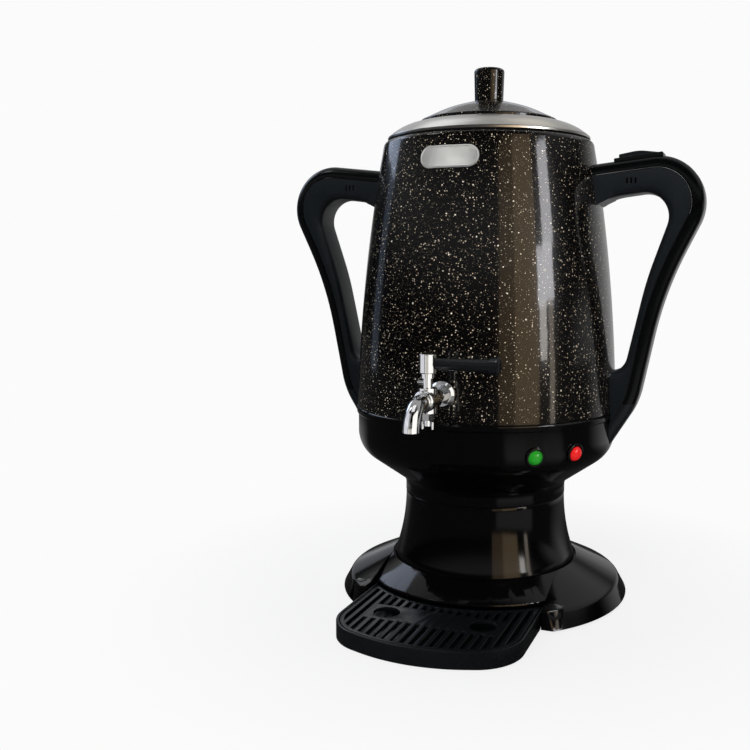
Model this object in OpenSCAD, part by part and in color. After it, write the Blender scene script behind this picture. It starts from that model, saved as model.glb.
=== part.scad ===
// Electric samovar: a painted steel tank on a moulded pedestal base, with a plug tap over a drip tray,
// two carrying handles, a seat ring for a teapot and a lift-off lid.
// Millimetres, +Z up, origin on the table under the tank's axis. The tap faces -Y, the handles lie along X.

/* [Foot] */
// Radius of the foot at its lower edge
foot_r = 110; // [104:1:120]
// Height of the foot's cone under the pedestal
foot_h = 27; // [25:0.5:32]
// Height of the foot's steep outer edge
foot_edge_h = 12; // [11:0.5:14]
// How far the steep outer edge leans in
foot_edge_run = 6; // [5:0.5:7]
// Wall of the moulded base parts
base_wall = 2.5; // [2:0.25:3]
// Height of the foot's lower edge over the table
foot_gap = 1.2; // [1.1:0.1:2]
// Radius of the foot's lip over the drip tray
lip_r = 90; // [87:0.5:93]
// Distance from the axis to the flat front faces beside the tray
jamb_front = 81; // [78:0.5:84]
// Width of the raised block on each side of the tray
jamb_w = 13; // [10:0.5:15]
// Thickness of the plate that closes the foot
plate_t = 2.2; // [2:0.1:2.6]

/* [Pedestal] */
// Outer radius of the pedestal at its foot
pedestal_base_r = 70; // [68:0.5:73]
// Outer radius of the pedestal at its neck
neck_r = 61.3; // [60:0.1:63]
// Height of the pedestal
pedestal_h = 50.5; // [46:0.5:58]

/* [Collar] */
// Outer radius of the collar
collar_r = 98; // [96:0.5:101]
// Height of the collar
collar_h = 61.5; // [58:0.5:70]
// Slope of the collar's underside, from the vertical
collar_slope = 55; // [52:1:58]
// Height of the straight stretch over the neck
collar_rise = 10.5; // [9:0.5:12]
// How far the indicator lamps face down, on the collar's rounding
lamp_tilt = 9; // [6:0.5:12]
// Angle of the green lamp, from the front towards +X
green_angle = 37; // [33:1:39]
// Angle of the red lamp, from the front towards +X
red_angle = 56; // [53:1:60]
// Radius of a lamp's lens
lens_r = 5.3; // [4.8:0.1:5.8]

/* [Seat ring] */
// Height of the band between the collar and the tank
seat_h = 5.5; // [4.5:0.25:7]
// How far the band stands out from the tank
seat_lip = 0.7; // [0.5:0.1:1.2]

/* [Tank] */
// Outer radius of the tank at its base
tank_base_r = 98.5; // [97:0.5:102]
// Outer radius of the tank at its top
tank_top_r = 77.6; // [75:0.2:80]
// Height of the tank
tank_h = 196; // [186:1:214]
// Bulge of the tank's side over a straight cone
tank_bulge = 3.6; // [2.5:0.1:4.5]
// Wall of the tank
tank_wall = 1.2; // [0.8:0.1:1.6]
// Radius of the tank's mouth
tank_mouth_r = 71; // [69:0.5:72]
// Height of the tank's floor over its lower edge
floor_rise = 4.5; // [4:0.25:6]

/* [Teapot ring] */
// Height of the teapot ring
ring_rise = 12.5; // [11:0.5:14]
// Radius of the teapot ring's lower edge
ring_r = 75.2; // [74.6:0.2:76]
// Radius of the teapot ring's mouth
ring_mouth_r = 47; // [45:0.5:48]
// Sheet of the teapot ring and of the lid
sheet = 1.2; // [0.8:0.1:1.5]
// Thickness of the ring's seal
seal_t = 1; // [0.8:0.1:1.6]
// Depth of the skirts that centre the ring and the lid
skirt_h = 7; // [5:0.5:9]

/* [Lid] */
// Radius of the lid
lid_r = 51; // [50.5:0.5:53]
// Height of the lid's dome
lid_rise = 16.6; // [15:0.2:20]
// Radius of the lid's knob at its top
knob_r = 11.3; // [10:0.1:12.5]
// Height of the lid's knob
knob_h = 23.4; // [22:0.2:28]

/* [Tap] */
// Height of the tap's waterway over the tank's lower edge
tap_rise = 20; // [19:0.5:24]
// Distance of the tap's key from the tank's wall
tap_stand = 29.5; // [28:0.5:34]
// Radius of the tap's barrel
barrel_r = 7.2; // [7:0.1:8]
// Radius of the spout's outside
spout_r = 5.4; // [5:0.1:6]
// Radius of the waterway
water_r = 4; // [3.4:0.1:4.2]
// Radius of the spout's bend
spout_bend_r = 16; // [15:0.5:20]
// Radius of the rosette against the tank
rosette_r = 9.4; // [9:0.1:11]
// Length of the tap's lever from the key's axis
lever_l = 48; // [42:1:56]
// Radius of the lever's end cap
lever_cap_r = 5.8; // [5.2:0.1:6.4]
// Radius of the key's head
key_head_r = 5.7; // [5.4:0.1:6.2]

/* [Handles] */
// Depth of a handle from front to back
handle_depth = 28; // [25:0.5:32]
// How far a handle's outer corner lies beyond the tank's base
handle_reach = 82.2; // [80:0.2:84]
// How far a handle's outer corner lies below the tank's top
handle_drop = 7.5; // [6:0.1:9]
// Thickness of the rounded cover strip along a handle's outer edge
strip_t = 8; // [7.6:0.1:8.4]
// Length of the mains switch's frame
switch_l = 34; // [32:0.5:36]
// Width of the mains switch's frame
switch_w = 19; // [18:0.5:21]

/* [Drip tray] */
// Width of the drip tray
tray_w = 130; // [124:1:134]
// Distance from the axis to the front of the tray
tray_reach = 163; // [158:1:172]
// Distance from the axis to the back of the tray
tray_back = 47; // [44:0.5:50]
// Height of the tray's rim over the table
tray_top = 12.4; // [11.6:0.1:13]
// Wall of the tray
tray_wall = 2.2; // [1.8:0.1:2.6]
// Width of a slot in the grille
slot_w = 3.2; // [2.8:0.1:3.8]
// Pitch of the slots in the grille
slot_pitch = 6.4; // [6:0.1:7]
// Thickness of the grille
grille_t = 2; // [1.6:0.1:2.2]

/* [Fits] */
// Gap between two pieces that are fixed together
fit_gap = 0.1; // [0.05:0.01:0.15]
// Gap round a piece that slides or lifts off
run_gap = 0.4; // [0.3:0.05:0.6]
// Radial clearance of a turning key or pin
turn_gap = 0.05; // [0.03:0.01:0.08]

/* [Hidden] */
$fn = 96;

// Heights of the stack
pedestal_seat = 1.5;
z_seat = foot_h - pedestal_seat;
z_neck = z_seat + pedestal_h;
z_collar = z_neck + collar_h;
z_tank = z_collar + seat_h;
z_floor = z_tank + floor_rise;
z_top = z_tank + tank_h;
z_ring = z_top + seal_t + 2 * fit_gap;
z_mouth = z_ring + ring_rise;
z_lid = z_mouth + fit_gap;
z_knob = z_lid + lid_rise;
z_plate = foot_gap + plate_t;
tap_z = z_tank + tap_rise;

// Colours
gloss_black = "#17181a";
satin_black = "#26292e";
granite = "#1d1c1b";
steel = "#b9bcc0";
chrome = "#d4d7da";
rubber_black = "#101112";

// Outlines are lists of [x, y, corner radius], counter-clockwise.
function unit(v) = v / norm(v);
function flat(v) = [v.x, v.y];
function edge_in(p, i) = unit(flat(p[i]) - flat(p[(i + len(p) - 1) % len(p)]));
function edge_out(p, i) = unit(flat(p[(i + 1) % len(p)]) - flat(p[i]));
function turn(p, i) = cross(edge_in(p, i), edge_out(p, i));
function bend(p, i) = acos(edge_in(p, i) * edge_out(p, i));
function arc_reach(p, i) = p[i].z * tan(bend(p, i) / 2);
function arc_start(p, i) = flat(p[i]) - arc_reach(p, i) * edge_in(p, i);
function arc_end(p, i) = flat(p[i]) + arc_reach(p, i) * edge_out(p, i);
function left_of(u) = [-u.y, u.x];
function arc_centre(p, i) = arc_start(p, i) + sign(turn(p, i)) * p[i].z * left_of(edge_in(p, i));
function straight_line(p) =
    [for (i = [0:len(p) - 1]) each p[i].z > 0 ? [arc_start(p, i), arc_end(p, i)] : [flat(p[i])]];

// The same outline moved inwards by d, or outwards where d is negative
function inset(p, d) = [
    for (i = [0:len(p) - 1])
        let (
            a = left_of(edge_in(p, i)),
            b = left_of(edge_out(p, i)),
            v = flat(p[i]) + d * (a + b) / (1 + a * b),
            grow = turn(p, i) > 0 ? -d : d
        )
        [v.x, v.y, p[i].z > 0 ? max(p[i].z + grow, 0) : 0]
];

// Piece of a disc between a corner's arc and its chord, past the chord where it is cut away
module corner_arc(p, i) {
    a = arc_start(p, i);
    b = arc_end(p, i);
    out = unit(2 * flat(p[i]) - a - b);
    span = norm(b - a);
    lap = turn(p, i) < 0 ? 0.1 * out : [0, 0];
    intersection() {
        translate(arc_centre(p, i))
            circle(p[i].z, $fn = max(64, ceil(4800 / bend(p, i))));
        polygon([a - lap, b - lap, b + out * span, a + out * span]);
    }
}

// An outline with its corners rounded by true arcs
module rounded(p) {
    difference() {
        union() {
            polygon(straight_line(p));
            for (i = [0:len(p) - 1])
                if (p[i].z > 0 && turn(p, i) > 0) corner_arc(p, i);
        }
        for (i = [0:len(p) - 1])
            if (p[i].z > 0 && turn(p, i) < 0) corner_arc(p, i);
    }
}

module revolved(p) {
    rotate_extrude()
        rounded(p);
}

// A section carried along the straight stretch after a corner, X inwards, lapped past both ends
module swept_edge(p, i, lap) {
    way = edge_out(p, i);
    start = arc_end(p, i) - lap * way;
    translate(start)
        rotate([0, 0, atan2(way.y, way.x)])
            rotate([90, 0, 90])
                linear_extrude(norm(arc_start(p, i + 1) - start) + lap)
                    children();
}

// A section carried round a corner of an outline
module swept_corner(p, i) {
    outer = turn(p, i) > 0;
    centre = arc_centre(p, i);
    start = (outer ? arc_start(p, i) : arc_end(p, i)) - centre;
    translate(centre)
        rotate([0, 0, atan2(start.y, start.x)])
            rotate_extrude(angle = bend(p, i), $fn = max(64, ceil(4800 / bend(p, i))))
                translate([p[i].z, 0])
                    rotate(outer ? 180 : 0)
                        children();
}

module tube(r_out, r_in, z0, z1) {
    rotate_extrude()
        translate([r_in, z0])
            square([r_out - r_in, z1 - z0]);
}

module post(r, z0, z1) {
    translate([0, 0, z0])
        cylinder(h = z1 - z0, r = r);
}

// A box given by its low and high corners
module block(low, high) {
    translate(low)
        cube(high - low);
}

// A cylinder along Y, from y0 to y1, at height z
module bar_y(r, y0, y1, z) {
    translate([0, y0, z])
        rotate([-90, 0, 0])
            cylinder(h = y1 - y0, r = r);
}

// Tank profile
function tank_chord() = [tank_top_r - tank_base_r, tank_h];
function tank_arc_r() = (pow(norm(tank_chord()) / 2, 2) + pow(tank_bulge, 2)) / (2 * tank_bulge);
tank_middle = [(tank_base_r + tank_top_r) / 2, z_tank + tank_h / 2]
    - 2 * tank_bulge * left_of(unit(tank_chord()));
tank_shoulder_r = 4.2;
function tank_outline(x0, low, high) = [
    [x0, low, 0],
    [tank_base_r, low, 0],
    [tank_middle.x, tank_middle.y, 0.94 * tank_arc_r()],
    [tank_top_r, high, tank_shoulder_r],
    [x0, high, 0]
];
function tank_r(z) =
    let (u = (z - z_tank) / tank_h)
    tank_base_r + u * (tank_top_r - tank_base_r) + 4 * tank_bulge * u * (1 - u);

module tank_space(gap) {
    revolved(inset(tank_outline(gap, z_tank, z_top), -gap));
}

// Collar profile
collar_low_round = 8.6;
collar_high_round = 22.9;
collar_low_r = neck_r + 0.2;
collar_turn = z_neck + collar_rise + (collar_r - collar_low_r) / tan(collar_slope);
function collar_outline(x0, high) = [
    [x0, z_neck, 0],
    [collar_low_r, z_neck, 0],
    [collar_low_r, z_neck + collar_rise, collar_low_round],
    [collar_r, collar_turn, collar_high_round],
    [collar_r, high, 0],
    [x0, high, 0]
];
collar_in_r = collar_r - base_wall;
collar_side_z = collar_turn + collar_high_round * tan(collar_slope / 2);

module collar_space(gap) {
    revolved(inset(collar_outline(gap, z_collar), -gap));
}

// Tie bolts that clamp the stack from the foot to the tank's floor
bolt_r = 2.4;
bolt_hole_r = 2.8;
bolt_head_r = 4.5;
bolt_head_h = 4;
bolt_circle_r = 52;
bolt_boss_r = 6;
bolt_boss_h = 12;
flange_t = 3;
flange_in_r = 46;
floor_t = 1.5;

module at_bolts() {
    for (a = [90, 210, 330])
        rotate([0, 0, a])
            translate([bolt_circle_r, 0, 0])
                children();
}

// Foot and its tray pocket
side_gap = run_gap + 0.1;
pocket_half = tray_w / 2 + side_gap;
pocket_back = tray_back - side_gap;
pocket_top = tray_top + run_gap + 0.2;
groove_r = pedestal_base_r + 1.6;
foot_crown_r = groove_r - 0.5;
foot_edge_round = 6;
lip_t = 2;
edge_angle = atan(foot_edge_run / (foot_edge_h - foot_gap));
function foot_edge_r(z) = foot_r - (z - foot_gap) * tan(edge_angle);
function foot_outline(x0, low) = [
    [x0, low, 0],
    [foot_edge_r(low), low, 0],
    [foot_r - foot_edge_run, foot_edge_h, foot_edge_round],
    [foot_crown_r, foot_h, 0],
    [x0, foot_h, 0]
];
function apron_outline(x0, low) = [
    [x0, low, 0],
    [lip_r, low, 0],
    [lip_r, pocket_top + lip_t, 1],
    [foot_crown_r, foot_h, 0],
    [x0, foot_h, 0]
];
plate_r = foot_edge_r(z_plate) - base_wall / cos(edge_angle) - fit_gap;
jamb_top = tray_top + 2.8;
jamb_back = jamb_front - 15;
plate_front = jamb_back - 0.5;

// Screws that hold the base plate
base_screw_r = 1.6;
base_screw_head_r = 3.4;
base_screw_head_h = 0.9;
base_screw_depth = 7;
base_boss_r = 4.2;
base_boss_circle_r = foot_r - 26;
module at_base_screws() {
    for (a = [18, 68, 112, 162])
        rotate([0, 0, a])
            translate([base_boss_circle_r, 0, 0])
                children();
}

// Cord gland in the back of the foot
gland_bore_r = 3.4;
gland_neck_r = 5.2;
gland_flange_r = 6.8;
gland_flange_t = 2;
gland_wall = 3;
gland_z = z_plate + 9;
gland_face = foot_edge_r(gland_z - gland_flange_r) + 0.3;
gland_boss_half = 9;

// Rubber ring under the foot
foot_ring_r = foot_r - 10.5;
foot_ring_w = 4.6;
foot_ring_groove = 1;
foot_ring_half_gap = 52;

// Lamps in the collar
lamp_hole_r = lens_r + 0.9;
lamp_flange_r = lens_r + 1.9;
lamp_neck_l = 7;
module at_lamp(angle) {
    rotate([0, 0, angle])
        translate([0, collar_high_round - collar_r, collar_side_z])
            rotate([90 + lamp_tilt, 0, 0])
                translate([0, 0, collar_high_round])
                    children();
}

// Drip tray
tray_gap = 0.8;
tray_floor_t = 1.8;
tray_step = jamb_front - 1.5;
tray_front_r = 110;
tray_front_angle = 19;
tray_corner_r = 34;
tray_rest = z_plate + run_gap;
ledge_w = 1.8;
grille_z = tray_top - 0.2 - grille_t;
ledge_z = grille_z - fit_gap;
grille_back_r = lip_r + 1;
tray_tip = tray_reach + tray_front_r * (1 / cos(tray_front_angle) - 1);
tray_shoulder = tray_tip - tray_w / 2 * tan(tray_front_angle);
function tray_outline(back) = [
    [-tray_w / 2, -back, 0],
    [-tray_w / 2, -tray_shoulder, tray_corner_r],
    [0, -tray_tip, tray_front_r],
    [tray_w / 2, -tray_shoulder, tray_corner_r],
    [tray_w / 2, -back, 0]
];

// Grille pattern
cup_hole_r = 9;
cup_hole_x = 34.6;
cup_hole_y = lip_r + 24;
cup_rim = 3.5;
grille_rim = 3;

// Tap
tap_wall_r = tank_r(tap_z);
key_y = -(tap_wall_r + tap_stand);
tap_tail_r = 6;
tap_neck_r = water_r + 1.2;
gasket_t = 1.4;
rosette_t = 4.4;
tap_shoulder_y = tap_wall_r + gasket_t + rosette_t;
nut_t = 5;
nut_r = 10;
barrel_half = 9.5;
barrel_round = 1.8;
key_low_r = 4;
key_high_r = 4.8;
key_low_z = tap_z - barrel_r - 0.8;
key_high_z = tap_z + barrel_r + 0.8;
stem_r = 3.1;
stem_top = key_high_z + 6.4;
key_collar_r = 1.3 * stem_r + 0.4;
key_collar_h = 3;
key_lug_r = 1.7;
key_lug_l = 3.4;
key_lug_z = key_high_z + key_lug_r + 1.5;
head_z = stem_top + key_collar_h;
head_h = 12.5;
lever_z = head_z + head_h / 2;
lever_stub_r = 2.4;
thread_r = 2.2;
thread_low_z = key_low_z - 8.6;
key_nut_h = 4.4;
key_nut_r = 4.3;
pin_r = 0.8;
pin_z = thread_low_z + 1.8;
spout_start = barrel_half + 3;

module at_key() {
    translate([0, key_y, 0])
        children();
}

// Handle outlines, in X and Z
handle_tilt = 6.3;
handle_corner = [tank_base_r + handle_reach, z_top - handle_drop];
handle_root_x = tank_top_r - 18;
handle_tip = [collar_r - 1.8, z_collar - 20.4];
handle_arm_x = tank_top_r + 18;
handle_arm_z = z_top - 41.8;
handle_arm_angle = 27;
function handle_outer() = [
    [handle_root_x, handle_tip.y - 6, 0],
    [handle_tip.x - 12, handle_tip.y - 6, 0],
    [handle_tip.x, handle_tip.y, 0],
    [tank_base_r + 17.9, z_tank + 6.8, 60],
    [tank_base_r + 33.9, z_tank + 88, 250],
    [handle_corner.x, handle_corner.y, 33],
    [handle_root_x, handle_corner.y - (handle_corner.x - handle_root_x) * tan(handle_tilt), 0]
];
function handle_hole() = [
    [handle_root_x, z_tank + 24, 0],
    [tank_base_r - 15, z_tank + 27, 0],
    [tank_base_r + 7.8, z_tank + 31, 14],
    [tank_base_r + 21.8, z_tank + 96, 240],
    [tank_base_r + 43.5, z_top - 36, 17],
    [handle_arm_x, handle_arm_z, 40],
    [handle_root_x, handle_arm_z - (handle_arm_x - handle_root_x) * tan(handle_arm_angle), 0]
];
rim_round = strip_t - 0.5;
rim_depth = handle_depth - 1;
rim_lap = 0.5;
rim_proud = 0.03;
strip_end_z = z_tank + 7;
handle_flange_t = 3;
handle_flange_out = 1;
dimple_x = tank_base_r + 6.2;
dimple_z = z_top - 33;
dimple_pitch = 3;
tab_l = 11.2;
tab_h = 9;
tab_t = 3;
tab_upper_z = z_top - 35;
tab_lower_z = z_tank + 20;
tab_heights = [tab_upper_z, tab_lower_z];
handle_screw_r = 1.9;
handle_screw_head_r = 3.6;
handle_screw_head_h = 2.6;

// Mains switch on the right handle's top, in a frame that follows the handle's slope
switch_x = tank_base_r + 13.5;
switch_z = handle_corner.y - (handle_corner.x - switch_x) * tan(handle_tilt);
switch_lip = 2;
frame_t = 3.2;
rocker_l = switch_l - 5.4;
rocker_w = switch_w - 6.4;
rocker_low = -5;
rocker_top = 5.6;
rocker_end = 3.4;
rocker_tilt = 5;
pivot_r = 1.2;
pivot_z = -1;
pivot_l = 1.8;
switch_body_top = -8.2;
switch_body_h = 10;
module at_switch() {
    translate([switch_x, 0, switch_z])
        rotate([0, -handle_tilt, 0])
            children();
}

// A slab of an X-Z outline, centred on Y
module slab(depth) {
    translate([0, depth / 2, 0])
        rotate([90, 0, 0])
            linear_extrude(depth)
                children();
}

// Tank and its heater

module body_shell() {
    color(granite)
        difference() {
            tank_space(0);
            intersection() {
                revolved(inset(tank_outline(-tank_wall, z_tank - 5, z_top), tank_wall));
                post(tank_base_r, z_tank - 1, z_top + 1);
            }
            post(tank_mouth_r, z_tank - 1, z_top + 1);
            bar_y(tap_tail_r + fit_gap, -tank_base_r - 5, 0, tap_z);
        }
}

floor_r = tank_r(z_floor) - tank_wall - 0.3;

module tank_floor() {
    color(steel)
        difference() {
            union() {
                post(floor_r, z_floor - floor_t, z_floor);
                tube(floor_r, floor_r - floor_t, z_tank, z_floor);
                at_bolts() post(bolt_boss_r, z_floor - floor_t - bolt_boss_h, z_floor - floor_t / 2);
            }
            at_bolts() post(bolt_r + fit_gap, z_floor - floor_t - bolt_boss_h - 1, z_floor - floor_t - 1);
        }
}

heat_plate_t = 3;
heat_plate_r = floor_r - 15;
heat_plate_z = z_floor - floor_t - heat_plate_t;

module heat_plate() {
    color("#c9ccd0")
        difference() {
            post(heat_plate_r, heat_plate_z, z_floor - floor_t);
            at_bolts() post(bolt_boss_r + fit_gap, heat_plate_z - 1, z_floor);
        }
}

element_r = heat_plate_r - 12;
element_tube_r = 3.3;
element_sink = 0.5;
element_z = heat_plate_z - element_tube_r + element_sink;
element_start = 110;
element_angle = 320;
element_pin_r = 1.8;
element_pin_l = 16;

module heating_element() {
    color("#8d8f92")
        intersection() {
            post(heat_plate_r, heat_plate_z - 2 * element_pin_l, heat_plate_z);
            union() {
                rotate([0, 0, element_start])
                    rotate_extrude(angle = element_angle)
                        translate([element_r, element_z])
                            circle(element_tube_r);
                for (a = [element_start + 0.5, element_start + element_angle - 0.5])
                    rotate([0, 0, a])
                        translate([element_r, 0, 0])
                            post(element_pin_r, element_z - element_pin_l, element_z);
            }
        }
}

control_x = 24;
control_r = 8.5;
control_h = 8;

// A disc thermostat with a fixing flange and two terminals
module snap_disc(x, h) {
    translate([x, 0, 0]) {
        post(control_r + 2, heat_plate_z - 1.5, heat_plate_z);
        post(control_r, heat_plate_z - h, heat_plate_z - 1);
        for (s = [-1, 1])
            block([s * 4 - 0.4, -3, heat_plate_z - h - 7], [s * 4 + 0.4, 3, heat_plate_z - h + 1]);
    }
}

module thermostat() {
    color("#e8e2d4") snap_disc(control_x, control_h);
}

module thermal_cutout() {
    color("#e8e2d4") snap_disc(-control_x, control_h - 2);
}

// Teapot ring and lid

ring_edge_h = 1.6;
ring_crown_r = 51;
ring_crown = [(ring_r + ring_crown_r) / 2 + 1.6, (z_ring + ring_edge_h + z_mouth) / 2 + 3];
function ring_outline(x0, low) = [
    [x0, low, 0],
    [ring_r, low, 0],
    [ring_r, z_ring + ring_edge_h, 0.8],
    [ring_crown.x, ring_crown.y, 40],
    [ring_crown_r, z_mouth, 2],
    [x0, z_mouth, 0]
];
ring_skirt_r = tank_mouth_r - run_gap;

module teapot_ring() {
    color(steel)
        difference() {
            union() {
                difference() {
                    revolved(ring_outline(0, z_ring));
                    difference() {
                        revolved(inset(ring_outline(-sheet, z_ring - 5), sheet));
                        post(ring_mouth_r + sheet, z_ring - 10, z_mouth + 1);
                    }
                }
                intersection() {
                    tube(ring_skirt_r, ring_skirt_r - sheet, z_top - skirt_h, z_mouth);
                    revolved(ring_outline(0, z_top - skirt_h - 1));
                }
            }
            post(ring_mouth_r, z_top - skirt_h - 5, z_mouth + 1);
        }
}

module ring_seal() {
    color(rubber_black)
        tube(ring_r - 0.5, ring_skirt_r + fit_gap, z_top + fit_gap, z_ring - fit_gap);
}

lid_edge_h = 1.9;
knob_foot_r = knob_r - 0.7;
lid_flat_r = knob_foot_r + 0.6;
lid_crown = [(lid_r + lid_flat_r) / 2 + 1, z_lid + (lid_rise + lid_edge_h) / 2 + 1.6];
function lid_outline(x0, low) = [
    [x0, low, 0],
    [lid_r, low, 0],
    [lid_r, z_lid + lid_edge_h, 0.9],
    [lid_crown.x, lid_crown.y, 90],
    [lid_flat_r, z_knob, 0],
    [x0, z_knob, 0]
];
lid_skirt_r = ring_mouth_r - run_gap;
lid_screw_r = 1.9;

module lid_dome() {
    color(granite)
        difference() {
            union() {
                difference() {
                    revolved(lid_outline(0, z_lid));
                    intersection() {
                        revolved(inset(lid_outline(-sheet, z_lid - 5), sheet));
                        post(lid_r - 2 * sheet, z_lid - 1, z_knob + 1);
                    }
                }
                intersection() {
                    tube(lid_skirt_r, lid_skirt_r - sheet, z_lid - skirt_h, z_knob);
                    revolved(lid_outline(0, z_lid - skirt_h - 1));
                }
            }
            post(lid_screw_r + fit_gap, z_knob - 5, z_knob + 1);
        }
}

knob_thread_l = 12;

module lid_knob() {
    color(granite)
        difference() {
            revolved([
                [0, z_knob, 0],
                [knob_foot_r, z_knob, 0.6],
                [knob_r, z_knob + knob_h, 2.4],
                [0, z_knob + knob_h, 0]
            ]);
            post(lid_screw_r + fit_gap, z_knob - 1, z_knob + knob_thread_l + 0.5);
        }
}

module lid_screw() {
    color(chrome)
        union() {
            post(lid_screw_r, z_knob - sheet - 1, z_knob + knob_thread_l);
            post(2.2 * lid_screw_r, z_knob - sheet - 2.6, z_knob - sheet);
        }
}

// Pedestal base

seat_r = max(collar_r, tank_base_r) + seat_lip;
seat_spigot_r = collar_in_r - fit_gap;
seat_spigot_h = 4;
seat_rim_r = floor_r - floor_t - fit_gap;
seat_rim_h = 2;
seat_in_r = min(seat_spigot_r, seat_rim_r) - 6;

module seat_ring() {
    color(gloss_black)
        revolved([
            [seat_in_r, z_collar - seat_spigot_h, 0],
            [seat_spigot_r, z_collar - seat_spigot_h, 0],
            [seat_spigot_r, z_collar, 0],
            [seat_r, z_collar, 0.22 * seat_h],
            [seat_r, z_tank, 0.33 * seat_h],
            [seat_rim_r, z_tank, 0],
            [seat_rim_r, z_tank + seat_rim_h, 0],
            [seat_in_r, z_tank + seat_rim_h, 0]
        ]);
}

module collar() {
    color(gloss_black)
        difference() {
            union() {
                difference() {
                    collar_space(0);
                    revolved(inset(collar_outline(-base_wall, z_collar + 5), base_wall));
                }
                tube(neck_r - base_wall - fit_gap, flange_in_r, z_neck - 3, z_neck + base_wall);
            }
            post(flange_in_r, z_neck - 5, z_neck + 10);
            at_bolts() post(bolt_hole_r, z_neck - 5, z_neck + 10);
            for (a = [green_angle, red_angle])
                at_lamp(a) post(lamp_hole_r + fit_gap, -15, 5);
        }
}

flare_run = pedestal_base_r - neck_r - 0.6;
flare_rise = pedestal_h - 3;
flare_r = (pow(flare_run, 2) + pow(flare_rise, 2)) / (2 * flare_run);

module pedestal() {
    color(gloss_black)
        rotate_extrude()
            difference() {
                intersection() {
                    translate([flange_in_r, z_seat])
                        square([pedestal_base_r - flange_in_r, pedestal_h]);
                    translate([neck_r + flare_r, z_neck])
                        circle(flare_r + base_wall, $fn = 720);
                }
                translate([neck_r + flare_r, z_neck])
                    circle(flare_r, $fn = 720);
            }
}

module jambs() {
    for (s = [0, 1])
        mirror([s, 0, 0])
            intersection() {
                translate([0, 0, foot_gap])
                    cylinder(h = jamb_top - foot_gap, r1 = foot_r - 0.6, r2 = foot_r - 3.2);
                block([pocket_half, -jamb_front, foot_gap], [pocket_half + jamb_w, -jamb_back, jamb_top]);
            }
}

module gland_boss() {
    bar_y(gland_boss_half, gland_face - 14, gland_face, gland_z);
    block(
        [-gland_boss_half, gland_face - 14, z_plate + fit_gap],
        [gland_boss_half, gland_face, gland_z]
    );
}

// Room inside the foot, round the tray's pocket and the bosses
module foot_room() {
    difference() {
        intersection() {
            revolved(inset(foot_outline(-base_wall, foot_gap - 10), base_wall));
            post(foot_r, foot_gap - 1, z_seat - flange_t);
        }
        block(
            [-pocket_half - base_wall, -foot_r, z_plate + fit_gap],
            [pocket_half + base_wall, -pocket_back + base_wall, pocket_top + base_wall]
        );
        over_apron(base_wall, z_plate + fit_gap);
        at_base_screws() post(base_boss_r, z_plate + fit_gap, foot_h);
        gland_boss();
        jambs();
    }
}

// Space over the foot's low apron, between the tray pocket's sides, grown by a wall, from a height up
module over_apron(wall, low) {
    half = pocket_half + wall;
    difference() {
        block([-half, -foot_r - 10, low], [half, 0, foot_h + 1]);
        revolved(inset(apron_outline(-wall, low - 10), wall));
    }
}

module foot() {
    color(gloss_black)
        difference() {
            union() {
                revolved(foot_outline(0, foot_gap));
                gland_boss();
                jambs();
            }
            foot_room();
            post(groove_r, z_seat, foot_h + 1);
            post(flange_in_r, pocket_top + base_wall + 0.5, foot_h + 1);
            at_bolts() post(bolt_hole_r, pocket_top, foot_h + 1);
            at_base_screws() post(base_screw_r + fit_gap, 0, z_plate + base_screw_depth + 1);
            block([-pocket_half, -foot_r - 10, -1], [pocket_half, -pocket_back, pocket_top]);
            over_apron(0, -5);
            for (s = [0, 1])
                mirror([s, 0, 0])
                    block([pocket_half - 1, -foot_r - 10, -1], [foot_r + 5, -jamb_front, foot_h + 1]);
            bar_y(gland_neck_r + fit_gap, gland_face - 20, gland_face + 5, gland_z);
            bar_y(gland_flange_r, gland_face - 20, gland_face - gland_wall, gland_z);
        }
}

module base_plate() {
    color(satin_black)
        difference() {
            translate([0, 0, foot_gap])
                linear_extrude(plate_t)
                    union() {
                        intersection() {
                            circle(plate_r);
                            translate([-plate_r, -plate_front])
                                square(2 * plate_r);
                        }
                        translate([-pocket_half + 0.5, -tray_step + 0.5])
                            square([2 * pocket_half - 1, tray_step]);
                    }
            tube(
                foot_ring_r + foot_ring_w / 2 + fit_gap, foot_ring_r - foot_ring_w / 2 - fit_gap,
                0, foot_gap + foot_ring_groove
            );
            at_base_screws() post(base_screw_r + fit_gap, 0, z_plate + 1);
        }
}

module foot_ring() {
    color(rubber_black)
        rotate([0, 0, foot_ring_half_gap - 90])
            rotate_extrude(angle = 360 - 2 * foot_ring_half_gap)
                translate([foot_ring_r - foot_ring_w / 2, 0])
                    square([foot_ring_w, foot_gap + foot_ring_groove - fit_gap]);
}

module base_screws() {
    color(steel)
        at_base_screws() {
            post(base_screw_r, foot_gap - 0.5, z_plate + base_screw_depth);
            post(base_screw_head_r, foot_gap - base_screw_head_h, foot_gap);
        }
}

module tie_bolts() {
    bolt_low = z_seat - flange_t;
    color(steel)
        at_bolts() {
            post(bolt_r, bolt_low - 1, z_floor - floor_t - 2);
            post(bolt_head_r, bolt_low - bolt_head_h, bolt_low);
        }
}

block_l = 30;
block_w = 14;
block_h = 11;

module terminal_block() {
    color("#efece4")
        translate([0, 44, 0])
            difference() {
                block([-block_l / 2, -block_w / 2, z_plate], [block_l / 2, block_w / 2, z_plate + block_h]);
                for (x = [-10, 0, 10])
                    translate([x, 0, 0]) {
                        bar_y(2, -block_w, block_w, z_plate + 4.5);
                        post(2.2, z_plate + 7, z_plate + block_h + 1);
                    }
            }
}

module cord_gland() {
    color(rubber_black)
        difference() {
            union() {
                bar_y(gland_flange_r, gland_face, gland_face + gland_flange_t, gland_z);
                bar_y(gland_neck_r, gland_face - gland_wall - 3, gland_face + 1, gland_z);
                bar_y(
                    gland_neck_r + 1,
                    gland_face - gland_wall - 3, gland_face - gland_wall - fit_gap, gland_z
                );
            }
            bar_y(gland_bore_r, gland_face - 20, gland_face + 20, gland_z);
        }
}

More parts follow.
